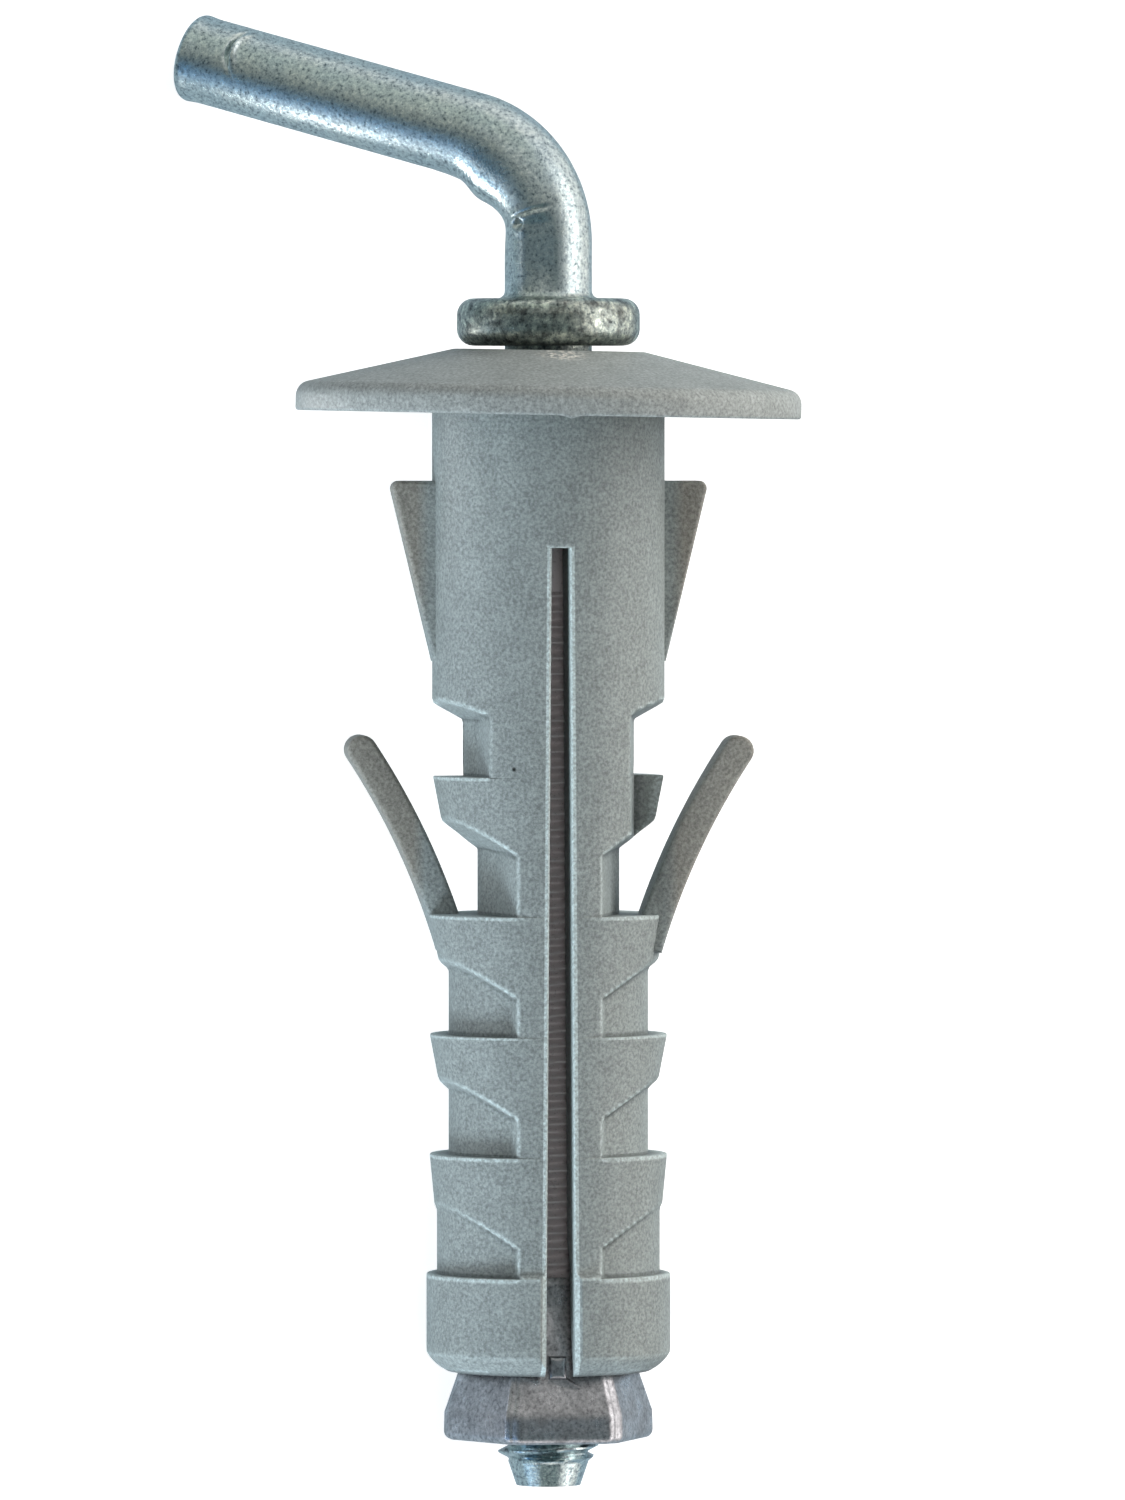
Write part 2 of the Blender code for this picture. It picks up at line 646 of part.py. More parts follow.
def main():
    """Builds the four pieces and lays them down."""
    for thing in list(bpy.data.objects):
        bpy.data.objects.remove(thing, do_unlink=True)
    zinc = material("Zinc-plated steel", (0.62, 0.64, 0.64), 1.0, 0.38)
    nylon = material("Grey nylon", (0.36, 0.40, 0.40), 0.0, 0.50)
    cap_nylon = material("Grey nylon of the rosette", (0.31, 0.34, 0.34), 0.0, 0.55)
    cast = material("Die-cast zinc", (0.50, 0.50, 0.51), 1.0, 0.42)

    plug_axis = empty("plug axis")
    sleeve_axis = empty("sleeve axis", plug_axis)
    sleeve_axis.rotation_euler = (0, 0, math.radians(SLEEVE_TURN_DEG))
    pieces = [make_hook(plug_axis, zinc), make_rosette(sleeve_axis, cap_nylon),
              make_sleeve(sleeve_axis, nylon), make_nut(sleeve_axis, cast)]
    lay_down(plug_axis, pieces)


main()
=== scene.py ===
"""The looks of the hook wall plug: zinc-plated hook, moulded rosette and sleeve, cast cone nut.

Every shape is worked out in the plug's own frame, where Z is its axis towards the hook, the wall's
face lies at height 0, and the hook's arm points to -X. Lengths are in metres.
"""
import json
import math

import bmesh
import bpy
import numpy as np
from mathutils import Matrix


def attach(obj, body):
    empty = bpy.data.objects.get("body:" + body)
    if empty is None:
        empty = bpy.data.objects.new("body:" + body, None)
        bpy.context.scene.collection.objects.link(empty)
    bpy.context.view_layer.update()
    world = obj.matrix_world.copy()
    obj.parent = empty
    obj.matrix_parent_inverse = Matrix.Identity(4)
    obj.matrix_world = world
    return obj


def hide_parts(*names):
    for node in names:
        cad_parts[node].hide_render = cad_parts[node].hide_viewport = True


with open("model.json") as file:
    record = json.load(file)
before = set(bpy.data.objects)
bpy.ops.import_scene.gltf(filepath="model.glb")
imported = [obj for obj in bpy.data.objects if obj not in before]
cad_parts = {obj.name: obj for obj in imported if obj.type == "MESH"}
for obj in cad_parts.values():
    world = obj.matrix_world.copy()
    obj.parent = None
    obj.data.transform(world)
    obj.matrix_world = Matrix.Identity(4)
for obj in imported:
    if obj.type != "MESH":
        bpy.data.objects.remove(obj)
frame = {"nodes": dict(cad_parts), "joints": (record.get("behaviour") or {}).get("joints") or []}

bl_info = {
    "name": "Hook wall plug",
    "version": (1, 0, 0),
    "blender": (4, 5, 0),
    "location": "3D View > Sidebar > Wall Plug",
    "description": "Builds the surfaces, finishes, floor, light and camera of a hook wall plug",
    "category": "Add Mesh",
}

SHARP_ANGLE_DEG = 35.0
FAR_OUT = 1.0
# Attribute of the sleeve's painted light: a painted highlight on edges and painted shade in creases
PAINTED_LIGHT_LAYER = "wear"

# Stage: where the camera aims, what the lamps and cards point at, and the floor
CAMERA_LIFT = 0.0008
CAMERA_AIM_DEPTH = 0.0173
CAMERA_AIM_RIGHT = 0.00073
SENSOR_WIDTH_MM = 36.0
CLIP_NEAR, CLIP_FAR = 0.05, 20.0
LIGHT_DEPTH = 0.0173
CARD_DISTANCE = 0.60
CARD_ROWS, CARD_COLUMNS = 25, 33
FLOOR_INNER, FLOOR_OUTER = 0.02, 3.0
FLOOR_RINGS, FLOOR_COLUMNS = 24, 64
FLOOR_ROUGHNESS, FLOOR_SPECULAR = 0.9, 0.1
FLOOR_GLOW = 0.72
FLOOR_GLOW_IN_GLOSS = 0.42

# Lamps: name, the setting with its power, angle round the plug from the camera, angle above the
# picture, distance, width, height, colour, and which rays see it
LAMPS = (
    ("Key", "key_power", 84, 26, 0.50, 0.36, 0.60, (1.0, 0.985, 0.94), "DIFFUSE"),
    ("Key strip", "strip_power", 74, 0, 0.50, 0.20, 0.80, (1.0, 0.99, 0.96), "GLOSSY"),
    ("Fill", "fill_power", -69, 4, 0.50, 0.20, 0.60, (0.89, 0.96, 1.0), "DIFFUSE"),
    ("Low fill", "low_power", -47, -50, 0.50, 0.12, 0.20, (0.78, 0.91, 1.0), "DIFFUSE"),
    ("Front", "front_power", 6.2, 0, 0.60, 0.07, 0.50, (1.0, 0.96, 0.94), "DIFFUSE"),
)

# Reflection cards round the plug: name, degrees round it, degrees above the picture's middle, and
# the shade at each angle above
UPPER_SHADES = ((0, (0.105, 0.15, 0.18)), (12, (0.23, 0.25, 0.235)), (36, (0.43, 0.46, 0.42)),
                (55, (0.54, 0.60, 0.56)), (80, (0.60, 0.65, 0.62)))
ROUND_CARDS = (
    ("Left_card", (-115, -36), (-55, 80),
     ((-55, (1.00, 1.00, 1.00)), (-42, (0.70, 0.88, 1.00)), (-33, (0.26, 0.56, 0.98)),
      (-27, (0.15, 0.37, 0.72)), (-12, (0.11, 0.21, 0.31)), *UPPER_SHADES)),
    ("Front_card", (-36, 44), (-55, 80),
     ((-55, (0.30, 0.36, 0.37)), (-30, (0.10, 0.16, 0.17)), (-12, (0.09, 0.14, 0.15)),
      *UPPER_SHADES[:2], (36, (0.62, 0.63, 0.62)), *UPPER_SHADES[3:])),
)

# Reflection cards on the floor: name, colour, strength, height and corners in X and Y
FLOOR_CARDS = (
    ("Far_left_card", (0.15, 0.22, 0.25), 1.0, 0.0001,
     ((-0.090, -0.100), (-0.016, -0.100), (-0.016, -0.024), (-0.090, -0.024))),
    ("Far_right_card", (0.48, 0.70, 0.94), 1.6, 0.0001,
     ((-0.016, -0.100), (0.100, -0.100), (0.100, -0.024), (-0.016, -0.024))),
    ("Near_card", (0.42, 0.54, 0.62), 1.0, 0.0001,
     ((-0.090, -0.024), (0.100, -0.024), (0.100, 0.040), (-0.090, 0.040))),
    ("Bend_card", (1.0, 1.0, 1.0), 7.0, 0.0002,
     ((-0.0200, -0.0165), (-0.0135, -0.0200), (-0.0080, -0.0320), (-0.0170, -0.0320))),
    ("Facet_card", (0.36, 0.36, 0.37), 1.0, 0.0002,
     ((0.000, -0.052), (0.0235, -0.052), (0.0235, -0.016), (0.000, -0.016))),
    ("Nut_card", (1.0, 1.0, 1.0), 0.3, 0.0002,
     ((0.0245, -0.042), (0.040, -0.042), (0.040, -0.018), (0.0245, -0.018))),
)

# Hook: the rod's path and its collar
ARM_LENGTH = 0.0210
ARM_HEIGHT = 0.01330
BEND_RADIUS = 0.00570
TIP_ROUND = 0.00045
TIP_RINGS = (0.3, 0.8)
COLLAR_BASE = 0.00356
COLLAR_ROUND = 0.00085
NECK_FILLET = 0.00040
ROD_END_DEPTH = 0.05527
TIP_SWELL = 0.00013
TIP_SWELL_LENGTH = 0.0012
ROD_STEP = 0.00016
NICK_ROWS = 4
ROD_COLUMNS = 96

# Marks of the bending die: a nick near the tip with a ridge beside it, a kink inside the bend, a
# dent and a line below it, and a flat on the neck. Angles run round the rod from the inside of the
# bend; the middles and widths of the kink and of the dip below it run up the bend from its foot
BEND_START = 0.00891
BEND_START_MARGIN = 0.001
NICK_ANGLE = math.radians(237.0)
NICK_FROM_TIP = 0.0028
NICK_BOW = 0.00016
NICK_WIDTH = 0.00013
NICK_HALF = 0.00085
NICK_DEPTH = 0.00040
NICK_ROWS_BEFORE, NICK_ROWS_AFTER = 0.0006, 0.0008
RIDGE_SHARE, RIDGE_OFFSET, RIDGE_WIDTH = 0.6, 2.2, 1.4
KINK_SWELL = 0.00054
KINK_MIDDLE, KINK_WIDTH = 0.90, 0.34
KINK_DIP = 0.00014
DIP_MIDDLE, DIP_WIDTH = 0.26, 0.20
BURNISH_POINT = (-0.00317, -0.00189, 0.01206)
BURNISH_REACH = 0.00140
DENT_HEIGHT = 0.00996
DENT_ANGLE = math.radians(288.0)
DENT_HALF = 0.00026
DENT_DEPTH = 0.00028
DENT_RIM_WIDTH = 1.9
DENT_SHARE, DENT_RIM_SHARE = 1.5, 0.5
LINE_HEIGHT = 0.01042
LINE_ANGLE = math.radians(267.0)
LINE_HALF = 0.00009
LINE_DEPTH = 0.00010
LINE_REACH, LINE_FADE = 1.6, 0.40
FLAT_ANGLE = math.radians(258.0)
FLAT_DEPTH = 0.00016
FLAT_LOW = 0.00655
FLAT_HIGH = 0.01040
FLAT_LOW_FADE, FLAT_HIGH_FADE = 0.0004, 0.0006
FLAT_LEAST_COSINE = 0.2

# Thread: right-hand, with the pitch of M5, and the cone and shoulder of the rod's point
THREAD_PITCH = 0.0008
THREAD_CREST = 0.00260
THREAD_ROOT = 0.00204
THREAD_TOP_DEPTH = 0.0090
THREAD_ROWS_PER_TURN = 9
THREAD_ROOT_SHARE, THREAD_FLANK_SHARE = 0.14, 0.72
ROD_POINT_RADIUS = 0.00166
ROD_POINT_SLOPE = 0.34
ROD_POINT_LENGTH = 0.00125
ROD_SHOULDER_SLOPE = 0.90

# Rosette
ROSETTE_HEIGHT = 0.00332
ROSETTE_TOP_RADIUS = 0.00520
ROSETTE_RIM_HEIGHT = 0.00075
ROSETTE_RIM_ROUND = 0.00080
ROSETTE_RIM_EDGE = 0.00015
ROSETTE_RIM_WIDTH = 0.00170
ROSETTE_WALL = 0.00115
ROSETTE_TOP_EDGE = 0.0003
ROSETTE_CONE_DEG = 77
ROSETTE_BOSS_WALL = 0.00110
ROSETTE_BOSS_LIFT = 0.00025
ROSETTE_STEP = 0.0005
ROSETTE_LEAN_DEG = 1.1
ROSETTE_LEAN_TOWARDS_DEG = -6.2
ROSETTE_COLUMNS = 360
CLEARANCE = 0.00035

# Moulding gate's nub on the rosette's rim, and its scar on top, both facing the camera
NUB_ANGLE = math.radians(-90.9)
NUB_HALF = 0.00030
NUB_REACH = 0.00040
NUB_DEPTH = 0.00016
SCAR_ANGLE = math.radians(-59.0)
SCAR_RADIUS = 0.00600
SCAR_HALF = 0.00100

# Sleeve: heights are negative depths below the wall's face
SLEEVE_HEAD = 0.00095
SLEEVE_HEAD_BREAK, SLEEVE_HEAD_EDGE = 0.00025, 0.00008
SLEEVE_COLUMNS = 256
SPINE_COLUMNS_DEG = (20.5, 26.6, 0.6)
FLAT_COLUMNS = (-0.02, -0.004, 0.004, 0.02)
COLUMN_GAP = 0.0035
PLAIN_STEP, BUSY_STEP, BORE_STEP = 0.00055, 0.00021, 0.0025
BUSY_BEFORE_RECESS = 0.0025
HEAD_MARGIN, BAND_MARGIN = 0.0004, 0.0003
MOUTH_ROWS = 26
LEDGE_ROWS_BELOW = (-0.00004, 0.0)
LEDGE_ROWS_IN_ROUND = (0.15, 0.4, 1.0)
LEDGE_ROWS_ABOVE = (0.00005, 0.00010)
BAND_RADIUS = 0.00630
BAND_LENGTH = 0.00405
MOUTH_RADIUS = 0.00522
MOUTH_LENGTH = 0.00099
MOUTH_STRAIGHT, MOUTH_CURVED, MOUTH_POWER = 0.44, 0.56, 2.4
BARB_COUNT = 3
BARB_PITCH = 0.00618
BARB_DEPTH = 0.02575
BARB_LENGTH = 0.00255
BARB_RADIUS = 0.00614
BARB_TAPER = 0.00050
LAST_BARB_TAPER = 0.00025
POCKET_RADIUS = 0.00515
LAST_POCKET_RADIUS = 0.00576
LAST_POCKET_FALL = 0.00036
SPINE_WIDTH = 0.00410
POCKET_DRAFT = 0.26
RECESS_DRAFT = 0.14
RECESS_FRONT_WIDTH = 0.00675
RECESS_RAMP_ACROSS = 0.55
RECESS_ROOF_RISE = 0.00035
RAMP_ACROSS = 0.75
RAMP_INWARD = 0.16
RAMP_LENGTH = 0.00030
RECESS_DEPTH = 0.01609
RECESS_RADIUS = 0.00439
RECESS_SPINE_WIDTH = 0.00712
WAIST_DEPTH = 0.02235
WAIST_RADIUS = 0.00366
GUIDE_BARB_DEPTH = 0.01860
GUIDE_BARB_LENGTH = 0.00230
GUIDE_BARB_TAPER = 0.00045
GUIDE_BARB_OVERLAP = 0.0005
MOULD_ROUND = 0.00016
LEDGE_ROUND = 0.00010
LEDGE_STEP = 0.000004
SLEEVE_TURN_DEG = 30.2
# Step and share of the edge and crease measure that carries the sleeve's painted highlight and
# shade
RELIEF_STEP = 0.00013
RELIEF_SHARE = 0.30
DOT_POINT = (0.00073, -0.00596, -0.01816)
DOT_RADIUS = 0.00010

# Wings and fins
WING_ROOT = (0.00485, -0.02750)
WING_TIP = (0.00960, -0.01730)
WING_BOW = 0.00042
WING_THICKNESS = 0.00155
WING_WIDTH = 0.00250
WING_OFFSET = 0.00025
FIN_DEPTH = 0.00340
FIN_LENGTH = 0.00930
FIN_REACH = 0.00815
FIN_CORNER = 0.00040
FIN_THICKNESS = 0.00180
FIN_SLOPE_DEG = 13.5
EDGE_ROUND = 0.00022

# Slots
SLOT_DEPTH = 0.00681
SLOT_TOP_WIDTH = 0.00093
SLOT_MOUTH_WIDTH = 0.00150
SLOT_EDGE_WIDTH = 0.00022
SLOT_BREAK_RADIUS = 0.00588
SLOT_BREAK_DEPTH = 0.0002
SLOT_TOOL_REACH = 0.0080
SLOT_TOOL_BELOW = 0.002

# Cone nut
NUT_DEPTH = 0.04440
NUT_TOP_RADIUS = 0.00325
NUT_NECK_RADIUS = 0.00350
NUT_NECK_LENGTH = 0.00160
NUT_CONE_RADIUS = 0.00541
NUT_CONE_LENGTH = 0.00545
NUT_BAND_RADIUS = 0.00543
NUT_BAND_LENGTH = 0.00100
NUT_EDGE_ROUND = 0.00042
NUT_FLATS = 6
NUT_FLATNESS = 0.100
NUT_FLATS_TURN_DEG = 4.0
NUT_BORE_RADIUS = 0.00255
NUT_COLUMNS = 384
NUT_STEP = 0.0003
NUT_BORE_BREAK = 0.0003
NUT_CORNER_EASE = 0.006
NUT_TOP_BREAK = 0.00018
NUT_GROOVE_DEPTH = 0.00004
NUT_GROOVE_HALF = 0.012
NUT_CLEARANCE = 0.00023
NUT_TRAVEL = 0.00050
LUG_WIDTH = 0.00090
LUG_FOOT_WIDTH = 0.00340
LUG_STANDOUT = 0.00098
LUG_LENGTH = 0.00115
LUG_FLARE_LENGTH = 0.00060
LUG_FOOT_LENGTH = 0.00060
LUG_OVERLAP = 0.0001
LUG_REACH = 0.00468
LUG_FOOT_REACH = 0.00436

# Noises of the finishes: scale, detail and roughness
ZINC_PATCHES = (420.0, 3.0, 0.6)
ZINC_MOTTLE = (4600.0, 4.0, 0.75)
ZINC_GRAIN = (9000.0, 2.0, 0.6)
COLLAR_BLOTCHES = (1700.0, 4.0, 0.7)
NYLON_FLOW = (700.0, 2.0, 0.5)
NYLON_GRAIN = (6000.0, 3.0, 0.65)
TORN_PATCHES = (2600.0, 2.0, 0.6)
NUT_CLOUD = (900.0, 3.0, 0.6)
NUT_SPECKLE = (5200.0, 3.0, 0.7)

# What a noise does to a colour or a roughness: its value, then a factor or a grey
ZINC_SHADES = ((0.32, (0.22, 0.26, 0.28)), (0.46, (0.86, 0.88, 0.88)),
               (0.68, (1.50, 1.46, 1.36)))
ZINC_ROUGHNESS = ((0.30, 0.44), (0.70, 0.22))
COLLAR_SHADES = ((0.34, (0.22, 0.21, 0.20)), (0.50, (0.62, 0.60, 0.55)),
                 (0.66, (1.30, 1.22, 1.05)))
NYLON_FLOW_SHADES = ((0.30, 0.93), (0.70, 1.07))
NYLON_GRAIN_SHADES = ((0.32, 0.64), (0.50, 1.0), (0.70, 1.44))
NUT_CLOUD_SHADES = ((0.32, 0.74), (0.66, 1.20))
NUT_SPECKLE_SHADES = ((0.32, (0.55, 0.54, 0.55)), (0.48, (0.95, 0.95, 0.95)),
                      (0.68, (1.35, 1.33, 1.33)))
NUT_ROUGHNESS = ((0.3, 0.38), (0.7, 0.24))

# Where a finish or painted light fades in, from none of it to all of it: heights along the axis,
# distances from the axis, values of the torn patches' noise or of the edge and crease measure
# Heights where the thread inside the sleeve takes a pale matt colour: painted light in the shaded
# slots
PAINTED_THREAD_BELOW, PAINTED_THREAD_ABOVE = (-0.0030, -0.0035), (-0.0475, -0.0470)
BLOTCHES_ABOVE = (COLLAR_BASE - 0.0008, COLLAR_BASE - 0.0003)
BLOTCHES_BELOW = (0.00630, 0.00600)
POLISH_BELOW = (-0.0515, -0.0520)
# Beyond this distance from the axis the wings and fins take a darker, browner grey: painted shade
OUTGROWTH_BEYOND = (0.00635, 0.00700)
# Strip along the slots' edges that takes a painted highlight
SLOT_EDGE_BEYOND = (0.0049, 0.0052)
SLOT_EDGE_FADE = 0.00004
SLOT_TOP_FADE = 0.0002
TORN_BEYOND = (0.48, 0.54)
# Values of the edge and crease measure where the painted highlight and the painted shade fade in
EDGE_BEYOND, CREASE_BEYOND = (0.1, 0.7), (-0.1, -0.8)

# How strong each finish is: shares, shades, and a bump's strength and depth
# How much metal the pale thread loses, for painted light in the shaded slots
PAINTED_THREAD_MATT = 0.85
POLISH, BURNISH = 0.55, 0.6
# Painted highlight on the sleeve's edges, and painted shade in its creases
EDGE_SHARE, CREASE_SHARE, CREASE_SHADE = 0.80, 0.75, 0.45
DOT_COLOUR = (0.02, 0.02, 0.02)
TORN_NYLON = (0.80, 0.78, 0.72)
NYLON_ROUGHNESS = 0.52
NUT_METALLIC = 0.9
ZINC_MOTTLE_BUMP, ZINC_GRAIN_BUMP = (0.75, 0.00002), (0.40, 0.000008)
ROSETTE_BUMP, SLEEVE_BUMP = (0.9, 0.000010), (0.9, 0.000028)
NUT_BUMP = (0.5, 0.000012)
NEAR_REACH, NEAR_CORE = 1.5, 0.6


class PlugSizes(bpy.types.PropertyGroup):
    """Sizes that name the plug: its drill hole, its rod and its cap."""

    rod_diameter: bpy.props.FloatProperty(
        name="Rod diameter", description="Plain part of the bent rod",
        default=0.0045, unit="LENGTH", precision=5)
    arm_rise: bpy.props.FloatProperty(
        name="Arm rise", description="How far the hook's arm rises away from square",
        default=math.radians(14.8), subtype="ANGLE", unit="ROTATION")
    collar_diameter: bpy.props.FloatProperty(
        name="Collar diameter", description="Upset collar that presses on the rosette",
        default=0.00944, unit="LENGTH", precision=5)
    collar_thickness: bpy.props.FloatProperty(
        name="Collar thickness", description="Height of the upset collar",
        default=0.00244, unit="LENGTH", precision=5)
    rosette_diameter: bpy.props.FloatProperty(
        name="Rosette diameter", description="Cap that covers the edge of the drilled hole",
        default=0.02610, unit="LENGTH", precision=5)
    sleeve_diameter: bpy.props.FloatProperty(
        name="Sleeve diameter", description="Round barrel, the size of the drill",
        default=0.01200, unit="LENGTH", precision=5)


class PlugFinishes(bpy.types.PropertyGroup):
    """Colours of the four pieces and of the floor."""

    zinc: bpy.props.FloatVectorProperty(
        name="Zinc", description="Plating of the hook", subtype="COLOR",
        default=(0.60, 0.63, 0.60), min=0.0, max=1.0)
    zinc_tint: bpy.props.FloatVectorProperty(
        name="Zinc tint", description="Blue passivation in patches of the plating",
        subtype="COLOR", default=(0.46, 0.56, 0.62), min=0.0, max=1.0)
    sleeve_nylon: bpy.props.FloatVectorProperty(
        name="Sleeve nylon", description="Grey nylon of the sleeve", subtype="COLOR",
        default=(0.295, 0.329, 0.326), min=0.0, max=1.0)
    # Painted shade: a darker, browner grey for the wings and fins
    painted_shade_nylon: bpy.props.FloatVectorProperty(
        name="Painted shade nylon", description="Browner grey of the wings and fins", subtype="COLOR",
        default=(0.305, 0.295, 0.265), min=0.0, max=1.0)
    # Painted highlight: a paler grey on the slots' edges and on the sleeve's other edges
    painted_highlight_nylon: bpy.props.FloatVectorProperty(
        name="Painted highlight nylon", description="Edges of the slots", subtype="COLOR",
        default=(0.56, 0.64, 0.64), min=0.0, max=1.0)
    # Lighter than the sleeve's nylon: partly the rosette's own greyer tone, partly painted light
    # for a top that the low lamps light less
    rosette_nylon: bpy.props.FloatVectorProperty(
        name="Rosette nylon", description="Grey nylon of the rosette", subtype="COLOR",
        default=(0.355, 0.381, 0.374), min=0.0, max=1.0)
    # Painted light: a pale colour for the shank in the shaded slots, brighter than its zinc would
    # be there
    thread_painted_light: bpy.props.FloatVectorProperty(
        name="Thread painted light", description="Shank inside the sleeve, seen through the slots",
        subtype="COLOR", default=(0.74, 0.70, 0.71), min=0.0, max=1.0)
    nut_metal: bpy.props.FloatVectorProperty(
        name="Nut metal", description="Die-cast metal of the cone nut", subtype="COLOR",
        default=(0.465, 0.455, 0.47), min=0.0, max=1.0)
    floor: bpy.props.FloatVectorProperty(
        name="Floor", description="Pale floor", subtype="COLOR",
        default=(0.80, 0.80, 0.80), min=0.0, max=1.0)


class PlugStage(bpy.types.PropertyGroup):
    """Where the camera stands, and how strong the lamps are."""

    camera_azimuth: bpy.props.FloatProperty(
        name="Camera azimuth", description="Round the plug's axis, from its X direction",
        default=math.radians(-66.0), subtype="ANGLE", unit="ROTATION")
    camera_distance: bpy.props.FloatProperty(
        name="Camera distance", description="From the plug's axis",
        default=0.700, unit="LENGTH")
    view_height: bpy.props.FloatProperty(
        name="View height", description="Height of the picture at the plug's axis",
        default=0.0774, unit="LENGTH", precision=5)
    key_power: bpy.props.FloatProperty(
        name="Key lamp", description="Power of the wide lamp on the right, in watts",
        default=2.9, min=0.0)
    fill_power: bpy.props.FloatProperty(
        name="Fill lamp", description="Power of the cool lamp on the left, in watts",
        default=1.35, min=0.0)
    strip_power: bpy.props.FloatProperty(
        name="Key strip",
        description="Power of the narrow lamp that gloss shows on the right, in watts",
        default=0.95, min=0.0)
    low_power: bpy.props.FloatProperty(
        name="Low fill lamp", description="Power of the cool lamp low on the left, in watts",
        default=2.0, min=0.0)
    front_power: bpy.props.FloatProperty(
        name="Front lamp", description="Power of the weak lamp over the camera, in watts",
        default=0.45, min=0.0)
    sky: bpy.props.FloatProperty(
        name="Sky", description="Strength of the light from all round",
        default=0.07, min=0.0)


def plug_frame():
    """The plug's own frame: its origin, and its X, Y and Z directions as the rows of a matrix.

    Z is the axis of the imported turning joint. The hook's points lie to its -X side, so -X is the
    direction from the axis to their mean.
    """
    joint = frame["joints"][0]
    origin = np.array(joint["pos_m"])
    along = np.array(joint["axis"])
    along /= np.linalg.norm(along)
    mesh = frame["nodes"]["angle_hook"].data
    points = np.empty(len(mesh.vertices) * 3)
    mesh.vertices.foreach_get("co", points)
    points = np.unique(points.reshape(-1, 3).round(7), axis=0)
    lean = points.mean(axis=0) - origin
    across = along * (lean @ along) - lean
    across /= np.linalg.norm(across)
    return origin, np.array([across, np.cross(along, across), along])


ORIGIN, DIRECTIONS = plug_frame()


def turned_by(points, angle):
    """Points turned about Z: each X, Y pair is mixed by the cosine and sine of the angle."""
    cos, sin = math.cos(angle), math.sin(angle)
    turn = np.array([[cos, sin, 0.0], [-sin, cos, 0.0], [0.0, 0.0, 1.0]])
    return points @ turn


def to_world(points):
    """Points from the plug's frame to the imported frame: origin plus X, Y and Z parts."""
    return ORIGIN + np.asarray(points).reshape(-1, 3) @ DIRECTIONS


def grid_faces(rows, columns, ring_shaped):
    """Quads of a grid whose columns wrap round; a ring-shaped one wraps its rows too, and any
    other is closed with a cap at each end."""
    row = np.arange(rows if ring_shaped else rows - 1)[:, None]
    column = np.arange(columns)[None, :]
    below = (row + 1) % rows
    after = (column + 1) % columns
    quads = np.stack([row * columns + column, row * columns + after,
                      below * columns + after, below * columns + column], axis=-1)
    faces = quads.reshape(-1, 4).tolist()
    if not ring_shaped:
        faces += [list(range(columns)), list(range((rows - 1) * columns, rows * columns))]
    return faces


def turned_profile(radius, angles, height):
    """Points of a turned shape: the radius times its angle's cosine and sine, at its height."""
    return np.stack([radius * np.cos(angles), radius * np.sin(angles), height], axis=-1)


def placed(name, data):
    """A new object at the origin of the scene."""
    thing = bpy.data.objects.new(name, data)
    bpy.context.scene.collection.objects.link(thing)
    return thing


def solid(name, points, faces):
    """A mesh object from points in the plug's frame, with its faces turned outwards."""
    mesh = bpy.data.meshes.new(name)
    mesh.from_pydata(to_world(points).tolist(), [], faces)
    work = bmesh.new()
    work.from_mesh(mesh)
    bmesh.ops.recalc_face_normals(work, faces=work.faces)
    work.to_mesh(mesh)
    work.free()
    return placed(name, mesh)


def cut(thing, tool, operation):
    """Applies an exact Boolean to a piece and removes its tool."""
    step = thing.modifiers.new(operation.title(), "BOOLEAN")
    step.operation = operation
    step.object = tool
    step.solver = "EXACT"
    graph = bpy.context.evaluated_depsgraph_get()
    result = bpy.data.meshes.new_from_object(thing.evaluated_get(graph))
    thing.modifiers.clear()
    old = thing.data
    thing.data = result
    bpy.data.meshes.remove(old)
    bpy.data.objects.remove(tool)


def finished(thing, material, node, body):
    """Smooth shading, the material, and the piece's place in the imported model."""
    thing.data.shade_smooth()
    thing.data.set_sharp_from_angle(angle=math.radians(SHARP_ANGLE_DEG))
    thing.data.materials.clear()
    thing.data.materials.append(material)
    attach(thing, body)
    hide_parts(node)


def smooth_min(first, second, width):
    """The lower of two surfaces, with the crease between them rounded over a width."""
    blend = np.maximum(width - np.abs(first - second), 0.0) / width
    return np.minimum(first, second) - blend * blend * width / 4


def smooth_max(first, second, width):
    """The higher of two surfaces, with the crease between them rounded over a width."""
    return -smooth_min(-first, -second, width)


def quarter_arc(centre, radius, start_deg, end_deg, steps=7):
    """Points of a circular arc: centre plus radius times the cosine and sine of its angle."""
    angle = np.radians(np.linspace(start_deg, end_deg, steps))
    return np.stack([centre[0] + radius * np.cos(angle),
                     centre[1] + radius * np.sin(angle)], axis=1)


def spread(profile, step):
    """A profile with extra points, so that no two neighbours are further apart than the step."""
    profile = np.asarray(profile, dtype=float)
    gaps = np.linalg.norm(np.diff(profile, axis=0), axis=1)
    counts = np.maximum(np.ceil(gaps / step).astype(int), 1)
    starts = np.repeat(np.arange(len(gaps)), counts)
    within = np.arange(counts.sum()) - np.repeat(np.cumsum(counts) - counts, counts)
    share = (within / counts[starts])[:, None]
    inner = profile[starts] + (profile[starts + 1] - profile[starts]) * share
    return np.vstack([inner, profile[-1:]])


def new_material(name):
    """An empty Principled material: its tree, its shader and its Object coordinates."""
    material = bpy.data.materials.new(name)
    material.use_nodes = True
    tree = material.node_tree
    place = tree.nodes.new("ShaderNodeTexCoord")
    return material, tree, tree.nodes["Principled BSDF"], place.outputs["Object"]


def scaled(colour, factor):
    """A colour made lighter or darker."""
    return tuple(min(channel * factor, 1.0) for channel in colour)


